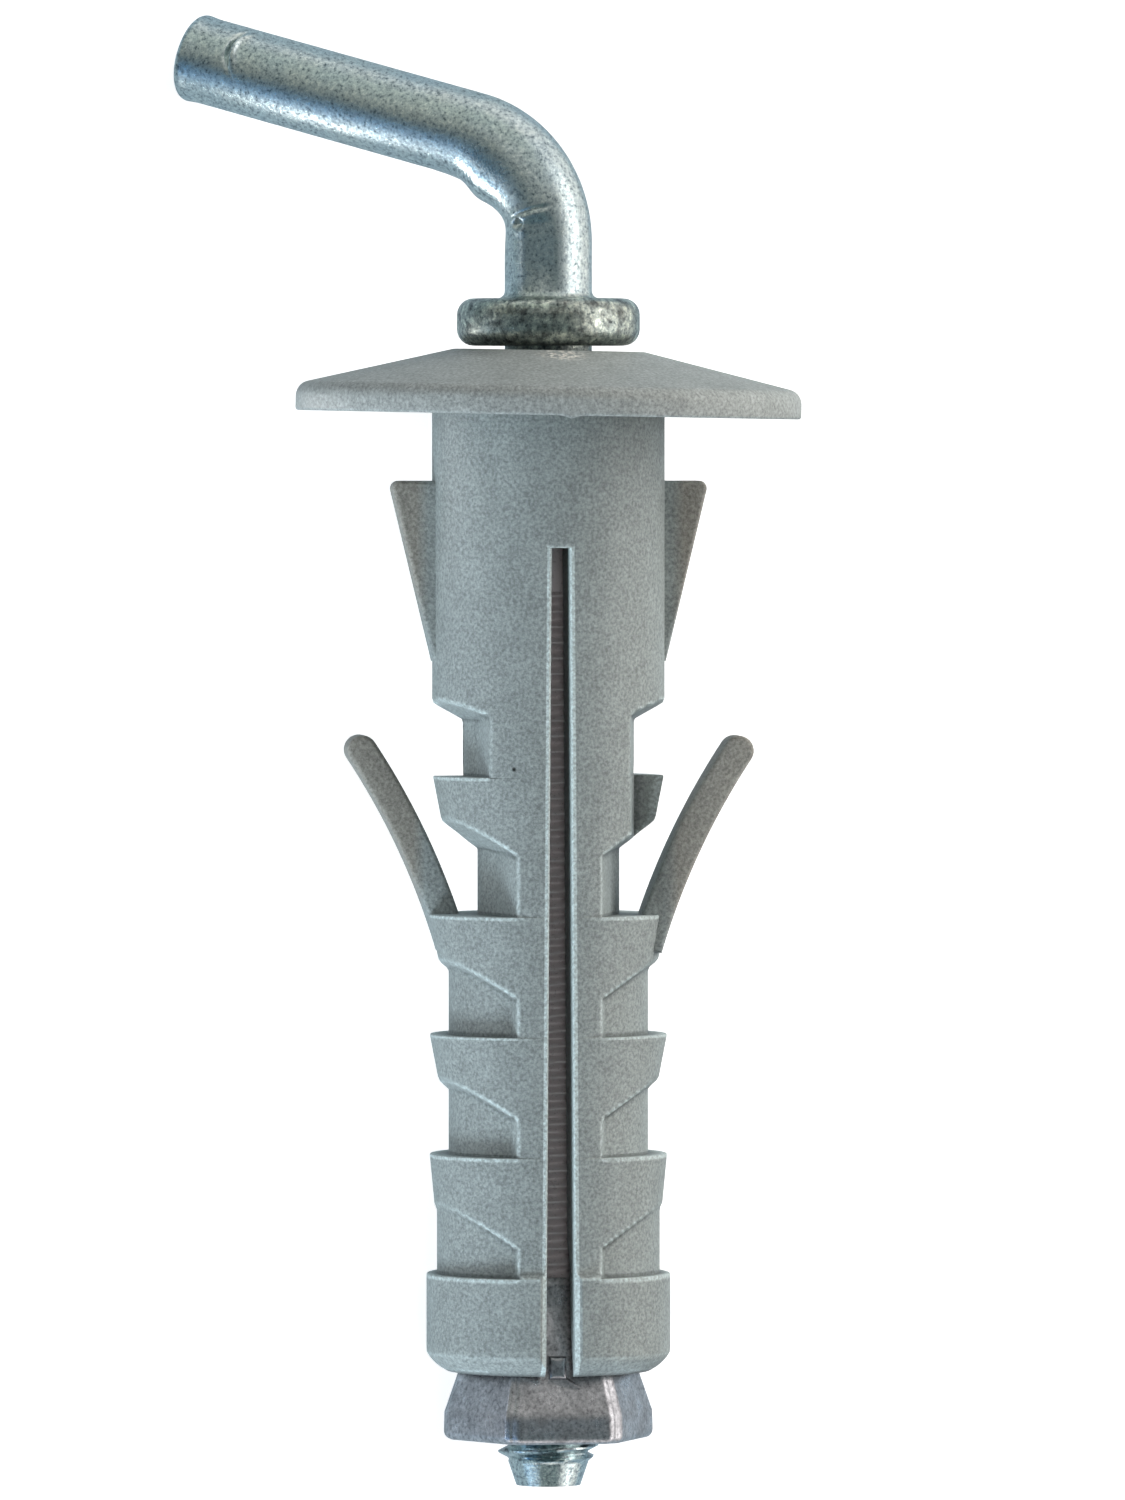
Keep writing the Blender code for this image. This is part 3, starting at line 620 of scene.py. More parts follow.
def fill(tree, socket, value):
    """Links a socket to another one, or gives it a plain value."""
    if isinstance(value, bpy.types.NodeSocket):
        tree.links.new(value, socket)
    else:
        socket.default_value = value


def noise_nodes(tree, coordinates, scale, detail, roughness):
    """A noise texture on the given coordinates."""
    noise = tree.nodes.new("ShaderNodeTexNoise")
    noise.inputs["Scale"].default_value = scale
    noise.inputs["Detail"].default_value = detail
    noise.inputs["Roughness"].default_value = roughness
    tree.links.new(coordinates, noise.inputs["Vector"])
    return noise.outputs["Fac"]


def ramp_node(tree, factor, stops):
    """A colour ramp through (position, colour) stops; a single number stands for a grey."""
    stops = [(position, (*np.broadcast_to(colour, 3).tolist(), 1.0)) for position, colour in stops]
    ramp = tree.nodes.new("ShaderNodeValToRGB")
    elements = ramp.color_ramp.elements
    elements[0].position, elements[0].color = stops[0]
    elements[1].position, elements[1].color = stops[-1]
    for position, colour in stops[1:-1]:
        elements.new(position).color = colour
    tree.links.new(factor, ramp.inputs["Fac"])
    return ramp.outputs["Color"]


def mixed(tree, kind, factor, first, second):
    """Two colours blended; the factor and colours are sockets or plain values."""
    node = tree.nodes.new("ShaderNodeMix")
    node.data_type = "RGBA"
    node.blend_type = kind
    fill(tree, node.inputs[0], factor)
    for socket, value in ((node.inputs[6], first), (node.inputs[7], second)):
        fill(tree, socket, (*value, 1.0) if isinstance(value, tuple) else value)
    return node.outputs[2]


def bump_nodes(tree, height, strength, distance, below=None):
    """A bump node of the given depth, on top of another one if given."""
    bump = tree.nodes.new("ShaderNodeBump")
    bump.inputs["Strength"].default_value = strength
    bump.inputs["Distance"].default_value = distance
    tree.links.new(height, bump.inputs["Height"])
    if below:
        tree.links.new(below, bump.inputs["Normal"])
    return bump.outputs["Normal"]


def math_node(tree, operation, *values):
    """One sum, product or other result of values that are each a socket or a number."""
    node = tree.nodes.new("ShaderNodeMath")
    node.operation = operation
    for socket, value in zip(node.inputs, values):
        fill(tree, socket, value)
    return node.outputs[0]


def vector_node(tree, operation, output, *values):
    """One vector result of values that are each a socket or a vector."""
    node = tree.nodes.new("ShaderNodeVectorMath")
    node.operation = operation
    for socket, value in zip(node.inputs, values):
        fill(tree, socket, value)
    return node.outputs[output]


def product(tree, first, *others):
    """The product of two or more values, each a socket or a number."""
    for other in others:
        first = math_node(tree, "MULTIPLY", first, other)
    return first


def lowered(tree, value, zone, share):
    """A value less a share of itself where the zone is one."""
    return product(tree, value, math_node(tree, "ADD", product(tree, zone, -share), 1.0))


def between(tree, value, low, high):
    """Zero before the low value, one past the high one, and straight in between."""
    node = tree.nodes.new("ShaderNodeMapRange")
    node.inputs["From Min"].default_value = low
    node.inputs["From Max"].default_value = high
    tree.links.new(value, node.inputs["Value"])
    return node.outputs["Result"]


def along(tree, place, direction):
    """How far a place lies from the plug's origin along a direction: their dot product."""
    away = vector_node(tree, "SUBTRACT", "Vector", place, ORIGIN.tolist())
    return vector_node(tree, "DOT_PRODUCT", "Value", away, np.asarray(direction).tolist())


def along_axis(tree, place):
    """Height in the plug's frame."""
    return along(tree, place, DIRECTIONS[2])


def from_axis(tree, place):
    """Distance from the plug's axis: the length of the cross product of the axis and the place."""
    away = vector_node(tree, "SUBTRACT", "Vector", place, ORIGIN.tolist())
    across = vector_node(tree, "CROSS_PRODUCT", "Vector", away, DIRECTIONS[2].tolist())
    return vector_node(tree, "LENGTH", "Value", across)


def near_point(tree, place, point, reach):
    """One close to a point of the plug's frame, and zero a little beyond its reach."""
    distance = vector_node(tree, "DISTANCE", "Value", place, to_world([point])[0].tolist())
    return between(tree, distance, NEAR_REACH * reach, NEAR_CORE * reach)


def slot_edge_highlights(tree, place):
    """One on a narrow strip along each slot's two edges, where a paler colour is painted as a
    highlight.
    """
    turn = math.radians(SLEEVE_TURN_DEG)
    sideways = math.cos(turn) * DIRECTIONS[0] + math.sin(turn) * DIRECTIONS[1]
    aside = math_node(tree, "ABSOLUTE", along(tree, place, sideways))
    height = along_axis(tree, place)
    run = (SLOT_MOUTH_WIDTH - SLOT_TOP_WIDTH) / 2 / (sleeve_end() - SLOT_DEPTH)
    half = math_node(tree, "ADD", product(tree, height, -run),
                     SLOT_TOP_WIDTH / 2 - run * SLOT_DEPTH)
    beyond = math_node(tree, "SUBTRACT", aside, half)
    strip = between(tree, beyond, SLOT_EDGE_WIDTH + SLOT_EDGE_FADE, SLOT_EDGE_WIDTH)
    outside = between(tree, from_axis(tree, place), *SLOT_EDGE_BEYOND)
    under = between(tree, height, -SLOT_DEPTH + SLOT_TOP_FADE, -SLOT_DEPTH)
    return product(tree, strip, outside, under)


def gate_scar(tree, place):
    """One on torn patches close to a point of the rosette's top."""
    point = (SCAR_RADIUS * math.cos(SCAR_ANGLE), SCAR_RADIUS * math.sin(SCAR_ANGLE), ROSETTE_HEIGHT)
    torn = between(tree, noise_nodes(tree, place, *TORN_PATCHES), *TORN_BEYOND)
    return product(tree, near_point(tree, place, point, SCAR_HALF), torn)


def zinc_material(colours):
    """Zinc plating: patches of blue passivation, coarse and fine mottling, and dull spots. The
    collar is blotched, and the shank inside the sleeve takes a pale, matt colour as painted light
    in the shaded slots. The rod's end and a patch inside the bend are polished."""
    material, tree, shader, place = new_material("Zinc plating")
    mottle = noise_nodes(tree, place, *ZINC_MOTTLE)
    base = mixed(tree, "MIX", noise_nodes(tree, place, *ZINC_PATCHES),
                 tuple(colours.zinc), tuple(colours.zinc_tint))
    base = mixed(tree, "MULTIPLY", 1.0, base, ramp_node(tree, mottle, ZINC_SHADES))
    height = along_axis(tree, place)
    inside = product(tree, between(tree, height, *PAINTED_THREAD_ABOVE), between(tree, height, *PAINTED_THREAD_BELOW))
    collar = product(tree, between(tree, height, *BLOTCHES_ABOVE),
                     between(tree, height, *BLOTCHES_BELOW))
    blotches = ramp_node(tree, noise_nodes(tree, place, *COLLAR_BLOTCHES), COLLAR_SHADES)
    base = mixed(tree, "MULTIPLY", collar, base, blotches)
    # Painted light: the shank inside the sleeve is painted pale and made matt, to brighten the
    # shaded slots
    base = mixed(tree, "MIX", inside, base, tuple(colours.thread_painted_light))
    tree.links.new(base, shader.inputs["Base Color"])
    metal = math_node(tree, "SUBTRACT", 1.0, product(tree, inside, PAINTED_THREAD_MATT))
    tree.links.new(metal, shader.inputs["Metallic"])
    dull = ramp_node(tree, mottle, ZINC_ROUGHNESS)
    dull = lowered(tree, dull, between(tree, height, *POLISH_BELOW), POLISH)
    dull = lowered(tree, dull, near_point(tree, place, BURNISH_POINT, BURNISH_REACH), BURNISH)
    tree.links.new(dull, shader.inputs["Roughness"])
    relief = bump_nodes(tree, mottle, *ZINC_MOTTLE_BUMP)
    relief = bump_nodes(tree, noise_nodes(tree, place, *ZINC_GRAIN), *ZINC_GRAIN_BUMP, relief)
    tree.links.new(relief, shader.inputs["Normal"])
    return material


def nylon_material(name, colour, bump, painted_light_and_shade=None, pale=None, scar=None):
    """Moulded nylon: fine spark-eroded grain, faint flow marks and a soft sheen.

    On the sleeve, outgrowths far from the axis take a darker, browner grey as painted shade,
    edges a paler one as a painted highlight, and creases a darker one as painted shade. On the
    rosette, the gate's scar takes its own.
    """
    material, tree, shader, place = new_material(name)
    grain = noise_nodes(tree, place, *NYLON_GRAIN)
    base = ramp_node(tree, noise_nodes(tree, place, *NYLON_FLOW),
                     [(value, scaled(colour, factor)) for value, factor in NYLON_FLOW_SHADES])
    if painted_light_and_shade:
        # Painted shade: the wings and fins, far from the axis, take a darker, browner grey
        far = between(tree, from_axis(tree, place), *OUTGROWTH_BEYOND)
        base = mixed(tree, "MIX", far, base, painted_light_and_shade)
        # Painted highlight: a paler strip along the slots' edges
        base = mixed(tree, "MIX", slot_edge_highlights(tree, place), base, pale)
        # Painted highlight where the sleeve stands out at edges, and painted shade in its creases
        layer = tree.nodes.new("ShaderNodeAttribute")
        layer.attribute_name = PAINTED_LIGHT_LAYER
        painted_light_here = layer.outputs["Fac"]
        edge = product(tree, between(tree, painted_light_here, *EDGE_BEYOND), EDGE_SHARE)
        crease = product(tree, between(tree, painted_light_here, *CREASE_BEYOND), CREASE_SHARE)
        base = mixed(tree, "MIX", edge, base, pale)
        base = mixed(tree, "MIX", crease, base, scaled(colour, CREASE_SHADE))
        dot = near_point(tree, place, DOT_POINT, DOT_RADIUS)
        base = mixed(tree, "MIX", dot, base, DOT_COLOUR)
    if scar:
        base = mixed(tree, "MIX", gate_scar(tree, place), base, scar)
    base = mixed(tree, "MULTIPLY", 1.0, base, ramp_node(tree, grain, NYLON_GRAIN_SHADES))
    tree.links.new(base, shader.inputs["Base Color"])
    shader.inputs["Roughness"].default_value = NYLON_ROUGHNESS
    tree.links.new(bump_nodes(tree, grain, *bump), shader.inputs["Normal"])
    return material


def nut_material(colours):
    """Die-cast metal: a dull skin with dark flow marks, coarse speckles and small pits."""
    material, tree, shader, place = new_material("Die-cast metal")
    cloud = noise_nodes(tree, place, *NUT_CLOUD)
    speckle = noise_nodes(tree, place, *NUT_SPECKLE)
    colour = tuple(colours.nut_metal)
    base = ramp_node(tree, cloud,
                     [(value, scaled(colour, factor)) for value, factor in NUT_CLOUD_SHADES])
    base = mixed(tree, "MULTIPLY", 1.0, base, ramp_node(tree, speckle, NUT_SPECKLE_SHADES))
    tree.links.new(base, shader.inputs["Base Color"])
    shader.inputs["Metallic"].default_value = NUT_METALLIC
    tree.links.new(ramp_node(tree, cloud, NUT_ROUGHNESS), shader.inputs["Roughness"])
    tree.links.new(bump_nodes(tree, speckle, *NUT_BUMP), shader.inputs["Normal"])
    return material


def rod_stations(sizes):
    """The rod as rows of (centre, tangent, radius): the arm, then the bend, then down the axis.

    The arm is a straight line that rises away from the axis, the bend a circular arc that meets
    it, and the rest is a profile of radius against height.
    """
    rod = sizes.rod_diameter / 2
    rise = sizes.arm_rise
    inwards = np.array([math.cos(rise), 0.0, -math.sin(rise)])
    tip = np.array([-ARM_LENGTH * math.cos(rise), 0.0, ARM_HEIGHT + ARM_LENGTH * math.sin(rise)])
    end_face = quarter_arc((TIP_ROUND, rod - TIP_ROUND), TIP_ROUND, 180, 90)
    end_face = np.vstack([[[0.0, TIP_RINGS[0] * rod], [0.0, TIP_RINGS[1] * (rod - TIP_ROUND)]],
                          end_face])
    turn = math.pi / 2 - rise
    straight = ARM_LENGTH - BEND_RADIUS * math.tan(turn / 2)
    above_nick, below_nick = NICK_FROM_TIP - NICK_ROWS_BEFORE, NICK_FROM_TIP + NICK_ROWS_AFTER
    arm = np.vstack([end_face, spread([(TIP_ROUND, rod), (above_nick, rod)], ROD_STEP)[1:-1],
                     spread([(above_nick, rod), (below_nick, rod)], ROD_STEP / NICK_ROWS)[:-1],
                     spread([(below_nick, rod), (straight, rod)], ROD_STEP)[:-1]])
    swell = np.clip(1 - arm[:, 0] / TIP_SWELL_LENGTH, 0.0, 1.0) ** 2
    centres = [tip + arm[:, :1] * inwards]
    tangents = [np.repeat(inwards[None], len(arm), axis=0)]
    radii = [arm[:, 1] + TIP_SWELL * swell]

    angle = np.linspace(turn, 0.0, int(BEND_RADIUS * turn / ROD_STEP * 2))
    bend_height = ARM_HEIGHT - BEND_RADIUS * math.tan(turn / 2)
    level = np.zeros_like(angle)
    centres.append(np.stack([(np.cos(angle) - 1) * BEND_RADIUS, level,
                             bend_height + np.sin(angle) * BEND_RADIUS], axis=1))
    tangents.append(np.stack([np.sin(angle), level, -np.cos(angle)], axis=1))
    radii.append(np.full_like(angle, rod))

    edge = sizes.collar_diameter / 2 - COLLAR_ROUND
    base = COLLAR_BASE
    top = base + sizes.collar_thickness
    neck = np.vstack([[[rod, bend_height]],
                      quarter_arc((rod + NECK_FILLET, top + NECK_FILLET), NECK_FILLET, 180, 270),
                      quarter_arc((edge, top - COLLAR_ROUND), COLLAR_ROUND, 90, 0),
                      quarter_arc((edge, base + COLLAR_ROUND), COLLAR_ROUND, 0, -90),
                      [[rod, base], [rod, -THREAD_TOP_DEPTH]]])
    neck = spread(neck, 4 * ROD_STEP)[1:]
    turns = (ROD_END_DEPTH - THREAD_TOP_DEPTH) / THREAD_PITCH
    heights = np.linspace(-THREAD_TOP_DEPTH, -ROD_END_DEPTH, int(turns * THREAD_ROWS_PER_TURN))[1:]
    shank = np.vstack([neck, np.stack([np.full_like(heights, rod), heights], axis=1),
                       [[ROD_POINT_RADIUS * 0.5, -ROD_END_DEPTH]]])
    zero = np.zeros(len(shank))
    centres.append(np.stack([zero, zero, shank[:, 1]], axis=1))
    tangents.append(np.stack([zero, zero, zero - 1], axis=1))
    radii.append(shank[:, 0])
    return np.vstack(centres), np.vstack(tangents), np.concatenate(radii)


def bell(first, second):
    """A soft bump: one at the middle, falling off with the square of the distance."""
    return np.exp(-(first * first + second * second))


def rod_radius(centres, radii, angles, sizes):
    """Each ring's radius at each angle: thread below, marks of the bending die above.

    The thread is a wave of height and angle: one crest for each pitch of height, moved up by a
    pitch for each turn. Its crests are cut off by the rod's point: a blunt cone, and a steeper one
    above it.
    """
    rod = sizes.rod_diameter / 2
    height = centres[:, 2:3]
    radius = np.repeat(radii[:, None], len(angles), axis=1)
    phase = height / THREAD_PITCH + angles[None, :] / (2 * math.pi)
    wave = np.abs(2 * (phase - np.floor(phase)) - 1)
    crest = np.clip((wave - THREAD_ROOT_SHARE) / THREAD_FLANK_SHARE, 0.0, 1.0)
    threaded = THREAD_ROOT + (THREAD_CREST - THREAD_ROOT) * crest
    from_end = height + ROD_END_DEPTH
    point = (ROD_POINT_RADIUS + ROD_POINT_SLOPE * from_end
             + ROD_SHOULDER_SLOPE * np.maximum(from_end - ROD_POINT_LENGTH, 0.0))
    in_thread = (height < -THREAD_TOP_DEPTH) & (radii[:, None] > ROD_POINT_RADIUS)
    radius = np.where(in_thread, np.minimum(threaded, point), radius)
    return radius - die_marks(centres, angles, rod)


def die_marks(centres, angles, rod):
    """What the bending die took from the rod or pushed up on it, as a depth for each row and angle.

    Marks are bells of the distance along the rod and of the distance round it. The nick near the
    tip is bowed with the square of the distance round, and has a ridge beside it. The kink stands
    out with the squared cosine of the angle from the inside of the bend. The flat on the neck
    takes off what stands beyond a plane: the rod's radius less the plane's distance over the
    cosine of the angle from the flat's middle.
    """
    x, height = centres[:, :1], centres[:, 2:3]
    angles = angles[None, :]
    on_arm = x < -BEND_RADIUS
    from_tip = ARM_LENGTH - (x ** 2 + (height - ARM_HEIGHT) ** 2) ** 0.5
    away = (angles - NICK_ANGLE) * rod
    bowed = from_tip - NICK_FROM_TIP - NICK_BOW * (away / NICK_HALF) ** 2
    nick = bell(bowed / NICK_WIDTH, away / NICK_HALF)
    ridge = bell((bowed - RIDGE_OFFSET * NICK_WIDTH) / (RIDGE_WIDTH * NICK_WIDTH), away / NICK_HALF)
    depth = np.where(on_arm, (nick - RIDGE_SHARE * ridge) * NICK_DEPTH, 0.0)

    turned_so_far = np.arctan2(height - BEND_START, x + BEND_RADIUS)
    inner = np.clip(np.cos(angles), 0.0, 1.0) ** 2
    swell = (bell((turned_so_far - KINK_MIDDLE) / KINK_WIDTH, 0.0) * KINK_SWELL
             - bell((turned_so_far - DIP_MIDDLE) / DIP_WIDTH, 0.0) * KINK_DIP)
    on_bend = ~on_arm & (height > BEND_START - BEND_START_MARGIN)
    depth = depth - np.where(on_bend, swell * inner, 0.0)

    off_arm = height < ARM_HEIGHT
    up, across = height - DENT_HEIGHT, (angles - DENT_ANGLE) * rod
    rim_half = DENT_RIM_WIDTH * DENT_HALF
    dent = (DENT_SHARE * bell(up / DENT_HALF, across / DENT_HALF)
            - DENT_RIM_SHARE * bell(up / rim_half, across / rim_half))
    reach = np.clip(LINE_REACH - np.abs(angles - LINE_ANGLE) / LINE_FADE, 0.0, 1.0)
    line = bell((height - LINE_HEIGHT) / LINE_HALF, 0.0) * reach
    depth = depth + np.where(off_arm, dent * DENT_DEPTH + line * LINE_DEPTH, 0.0)

    plane = (rod - FLAT_DEPTH) / np.maximum(np.cos(angles - FLAT_ANGLE), FLAT_LEAST_COSINE)
    taken = np.clip(rod - plane, 0.0, FLAT_DEPTH)
    low = np.clip((height - FLAT_LOW) / FLAT_LOW_FADE, 0.0, 1.0)
    high = np.clip((FLAT_HIGH - height) / FLAT_HIGH_FADE, 0.0, 1.0)
    return depth + np.where(height > 0.0, taken * low * high, 0.0)


def make_hook(sizes, material):
    """A round section carried along the rod's path.

    A point is the path's centre plus the radius times the cosine of the angle along one side
    direction plus its sine along the other.
    """
    centres, tangents, radii = rod_stations(sizes)
    angles = np.linspace(0.0, 2 * math.pi, ROD_COLUMNS, endpoint=False)
    sideways = np.array([0.0, 1.0, 0.0])
    outwards = np.cross(sideways, tangents)
    radius = rod_radius(centres, radii, angles, sizes)
    points = (centres[:, None, :]
              + radius[..., None] * (outwards[:, None, :] * np.cos(angles)[None, :, None]
                                     + sideways * np.sin(angles)[None, :, None]))
    hook = solid("bent_hook", points, grid_faces(len(centres), ROD_COLUMNS, ring_shaped=False))
    finished(hook, material, "angle_hook", "hook")


def make_rosette(sizes, material):
    """A profile turned about an axis that leans a little: a conical top, a rounded rim, and a
    hollow underside with a socket for the sleeve's head. A small bell under the rim is the nub of
    the moulding gate."""
    rim = sizes.rosette_diameter / 2
    rim_arc = quarter_arc((rim - ROSETTE_RIM_ROUND, ROSETTE_RIM_HEIGHT), ROSETTE_RIM_ROUND,
                          ROSETTE_CONE_DEG, 0, 10)
    slope = (ROSETTE_HEIGHT - rim_arc[0][1]) / (rim_arc[0][0] - ROSETTE_TOP_RADIUS)
    hole = sizes.rod_diameter / 2 + CLEARANCE
    socket = sizes.sleeve_diameter / 2 + CLEARANCE
    boss = socket + ROSETTE_BOSS_WALL
    inside = rim - ROSETTE_RIM_EDGE - ROSETTE_RIM_WIDTH
    lean = math.radians(ROSETTE_LEAN_DEG)
    seat = SLEEVE_HEAD + sizes.sleeve_diameter / 2 * math.tan(lean) + CLEARANCE

    def ceiling(radius):
        return ROSETTE_HEIGHT - ROSETTE_WALL - slope * (radius - ROSETTE_TOP_RADIUS)

    top_centre = (ROSETTE_TOP_RADIUS - ROSETTE_TOP_EDGE, ROSETTE_HEIGHT - ROSETTE_TOP_EDGE)
    top_edge = quarter_arc(top_centre, ROSETTE_TOP_EDGE, 90, ROSETTE_CONE_DEG, 4)
    low_edge = quarter_arc((rim - ROSETTE_RIM_EDGE, ROSETTE_RIM_EDGE), ROSETTE_RIM_EDGE, 0, -90, 5)
    profile = np.vstack([[[hole, ROSETTE_HEIGHT]], top_edge, rim_arc, low_edge,
                         [[inside, 0.0], [inside, ceiling(inside)], [boss, ceiling(boss)],
                          [boss, ROSETTE_BOSS_LIFT], [socket, ROSETTE_BOSS_LIFT], [socket, seat],
                          [hole, seat]]])
    profile = spread(profile, ROSETTE_STEP)
    angles = np.linspace(0.0, 2 * math.pi, ROSETTE_COLUMNS, endpoint=False)
    radius = profile[:, :1]
    height = np.repeat(profile[:, 1:], ROSETTE_COLUMNS, axis=1)
    points = turned_profile(radius, angles, height)
    near_rim = (radius > rim - NUB_REACH) & (profile[:, 1:] < NUB_REACH)
    away = (angles - NUB_ANGLE + math.pi) % (2 * math.pi) - math.pi
    points[..., 2] -= NUB_DEPTH * bell(away * rim / NUB_HALF, 0.0)[None, :] * near_rim
    across = math.radians(ROSETTE_LEAN_TOWARDS_DEG + 90)
    tilt = np.array(Matrix.Rotation(lean, 3, (math.cos(across), math.sin(across), 0.0)))
    points = turned_by(points.reshape(-1, 3) @ tilt.T, math.radians(SLEEVE_TURN_DEG))
    faces = grid_faces(len(profile), ROSETTE_COLUMNS, ring_shaped=True)
    rosette = solid("cover_rosette", points, faces)
    finished(rosette, material, "rosette", "sleeve")


def barb_depth(index):
    """Depth of a barb's upper ledge, and after the last barb that of the band."""
    return BARB_DEPTH + index * BARB_PITCH


def barb_ledges():
    """Depths of the ledges of the guide barb, of each barb and of the band."""
    return [GUIDE_BARB_DEPTH] + [barb_depth(index) for index in range(BARB_COUNT + 1)]


def sleeve_end():
    """Depth of the sleeve's mouth."""
    return barb_depth(BARB_COUNT) + BAND_LENGTH + MOUTH_LENGTH


def sleeve_heights():
    """Heights of the sleeve's rows: even steps, with close ones at each ledge and the mouth."""
    band = barb_depth(BARB_COUNT)
    ledges = [WAIST_DEPTH] + barb_ledges()
    near = np.array([*LEDGE_ROWS_BELOW, *(LEDGE_ROUND * share for share in LEDGE_ROWS_IN_ROUND)])
    above = np.array([LEDGE_STEP, *LEDGE_ROWS_ABOVE])
    at_ledges = [-(depth + near) for depth in ledges] + [above - depth for depth in ledges]
    busy_from = -RECESS_DEPTH + BUSY_BEFORE_RECESS
    plain = np.arange(SLEEVE_HEAD - HEAD_MARGIN, busy_from, -PLAIN_STEP)
    busy = np.arange(busy_from, -band, -BUSY_STEP)
    mouth = np.linspace(-band - BAND_MARGIN, -sleeve_end(), MOUTH_ROWS)
    heights = np.concatenate([plain, busy, mouth, *at_ledges])
    return np.unique(heights.round(7))[::-1]


def pocket_start(height, cos, sin, spine_width, ramp_depth, ramp_radius, ledge_depth, full,
                 draft=POCKET_DRAFT, across=RAMP_ACROSS):
    """The radius at which a pocket starts, seen from the axis.

    Its inner wall leans out from the spine and its roof is a ramp; both are planes, so along a
    ray each starts at a constant over a sum of the ray's cosine and sine. Below its ledge the
    pocket is far out.
    """
    wall = (spine_width / 2 + draft * full) / (cos + draft * sin)
    ramp = (ramp_radius + (height + ramp_depth) / across) / (cos + RAMP_INWARD / across * sin)
    start = smooth_max(wall, ramp, MOULD_ROUND)
    return np.where(height > -ledge_depth, start, FAR_OUT)


def sleeve_radius(height, angles, full):
    """The sleeve's outside as a radius for each height and angle.

    The body's radius tapers at the barbs' sides with the squared cosine of the angle, and at the
    mouth it falls off along a straight line plus a power. Each pocket lowers it to where that
    pocket starts, but never below the pockets' floors. Creases are rounded, and so is each ledge's
    outer edge.
    """
    cos, sin = np.abs(np.cos(angles))[None, :], np.abs(np.sin(angles))[None, :]
    last = BARB_COUNT - 1
    barb_ends = [(0.0, full), (-GUIDE_BARB_DEPTH, full),
                 (-(GUIDE_BARB_DEPTH + GUIDE_BARB_LENGTH), full - GUIDE_BARB_TAPER)]
    for index in range(BARB_COUNT):
        taper = LAST_BARB_TAPER if index == last else BARB_TAPER
        barb_ends += [(-barb_depth(index) + 2 * LEDGE_STEP, barb_ends[-1][1]),
                      (-barb_depth(index), BARB_RADIUS),
                      (-(barb_depth(index) + BARB_LENGTH), BARB_RADIUS - taper)]
    band_top = barb_depth(BARB_COUNT)
    barb_ends += [(-(band_top - RAMP_LENGTH), BARB_RADIUS - LAST_BARB_TAPER)]
    ends = np.array(barb_ends)
    side = np.interp(height[:, 0], ends[::-1, 0], ends[::-1, 1])[:, None]
    body = full + (side - full) * cos ** 2
    swell = np.clip((-(band_top - RAMP_LENGTH) - height) / RAMP_LENGTH, 0.0, 1.0)
    body = body + (BAND_RADIUS - body) * swell
    mouth = np.clip((-(band_top + BAND_LENGTH) - height) / MOUTH_LENGTH, 0.0, 1.0)
    body = body - (BAND_RADIUS - MOUTH_RADIUS) * (MOUTH_STRAIGHT * mouth
                                                  + MOUTH_CURVED * mouth ** MOUTH_POWER)
    for depth in barb_ledges():
        up = np.clip((height + depth + LEDGE_ROUND) / LEDGE_ROUND, 0.0, 1.0)
        up = np.where(height > -depth + LEDGE_STEP / 2, 0.0, up)
        body = body - LEDGE_ROUND * (1 - np.sqrt(1 - up * up)) * cos ** 2

    crossed = (np.cos(angles) * np.sin(angles) < 0)[None, :]
    shape = (height, cos, sin)
    recess_width = np.where(crossed, RECESS_SPINE_WIDTH, RECESS_FRONT_WIDTH)
    below_guide = pocket_start(*shape, RECESS_SPINE_WIDTH, GUIDE_BARB_DEPTH - GUIDE_BARB_OVERLAP,
                               RECESS_RADIUS, WAIST_DEPTH, full, RECESS_DRAFT)
    starts = [pocket_start(*shape, recess_width, RECESS_DEPTH - RECESS_ROOF_RISE, RECESS_RADIUS,
                           GUIDE_BARB_DEPTH, full, RECESS_DRAFT, RECESS_RAMP_ACROSS),
              pocket_start(*shape, SPINE_WIDTH, WAIST_DEPTH, WAIST_RADIUS, BARB_DEPTH, full),
              np.where(crossed, below_guide, FAR_OUT)]
    for index in range(BARB_COUNT):
        floor = LAST_POCKET_RADIUS if index == last else POCKET_RADIUS
        drop = (BARB_RADIUS - floor) * RAMP_ACROSS if index == last else RAMP_LENGTH
        roof = barb_depth(index) + BARB_LENGTH + drop
        starts.append(pocket_start(*shape, SPINE_WIDTH, roof, floor, barb_depth(index + 1), full))
    radius = body
    for start in starts:
        radius = smooth_min(radius, np.minimum(start, FAR_OUT), MOULD_ROUND)

    inside = BARB_LENGTH / 3
    waist_rise = (RECESS_RADIUS - WAIST_RADIUS) * RAMP_ACROSS
    floors = np.array([(-RECESS_DEPTH + 2 * SLEEVE_HEAD, RECESS_RADIUS),
                       (waist_rise - WAIST_DEPTH, RECESS_RADIUS), (-WAIST_DEPTH, WAIST_RADIUS),
                       (-(BARB_DEPTH + inside), WAIST_RADIUS),
                       (-(BARB_DEPTH + 2 * inside), POCKET_RADIUS),
                       (-(barb_depth(last) + inside), POCKET_RADIUS),
                       (-(barb_depth(last) + 2 * inside), LAST_POCKET_RADIUS)])
    core = np.interp(height[:, 0], floors[::-1, 0], floors[::-1, 1])[:, None]
    core = core - LAST_POCKET_FALL * (core > POCKET_RADIUS) * (1 - cos ** 2)
    return smooth_max(radius, np.minimum(core, body), MOULD_ROUND)


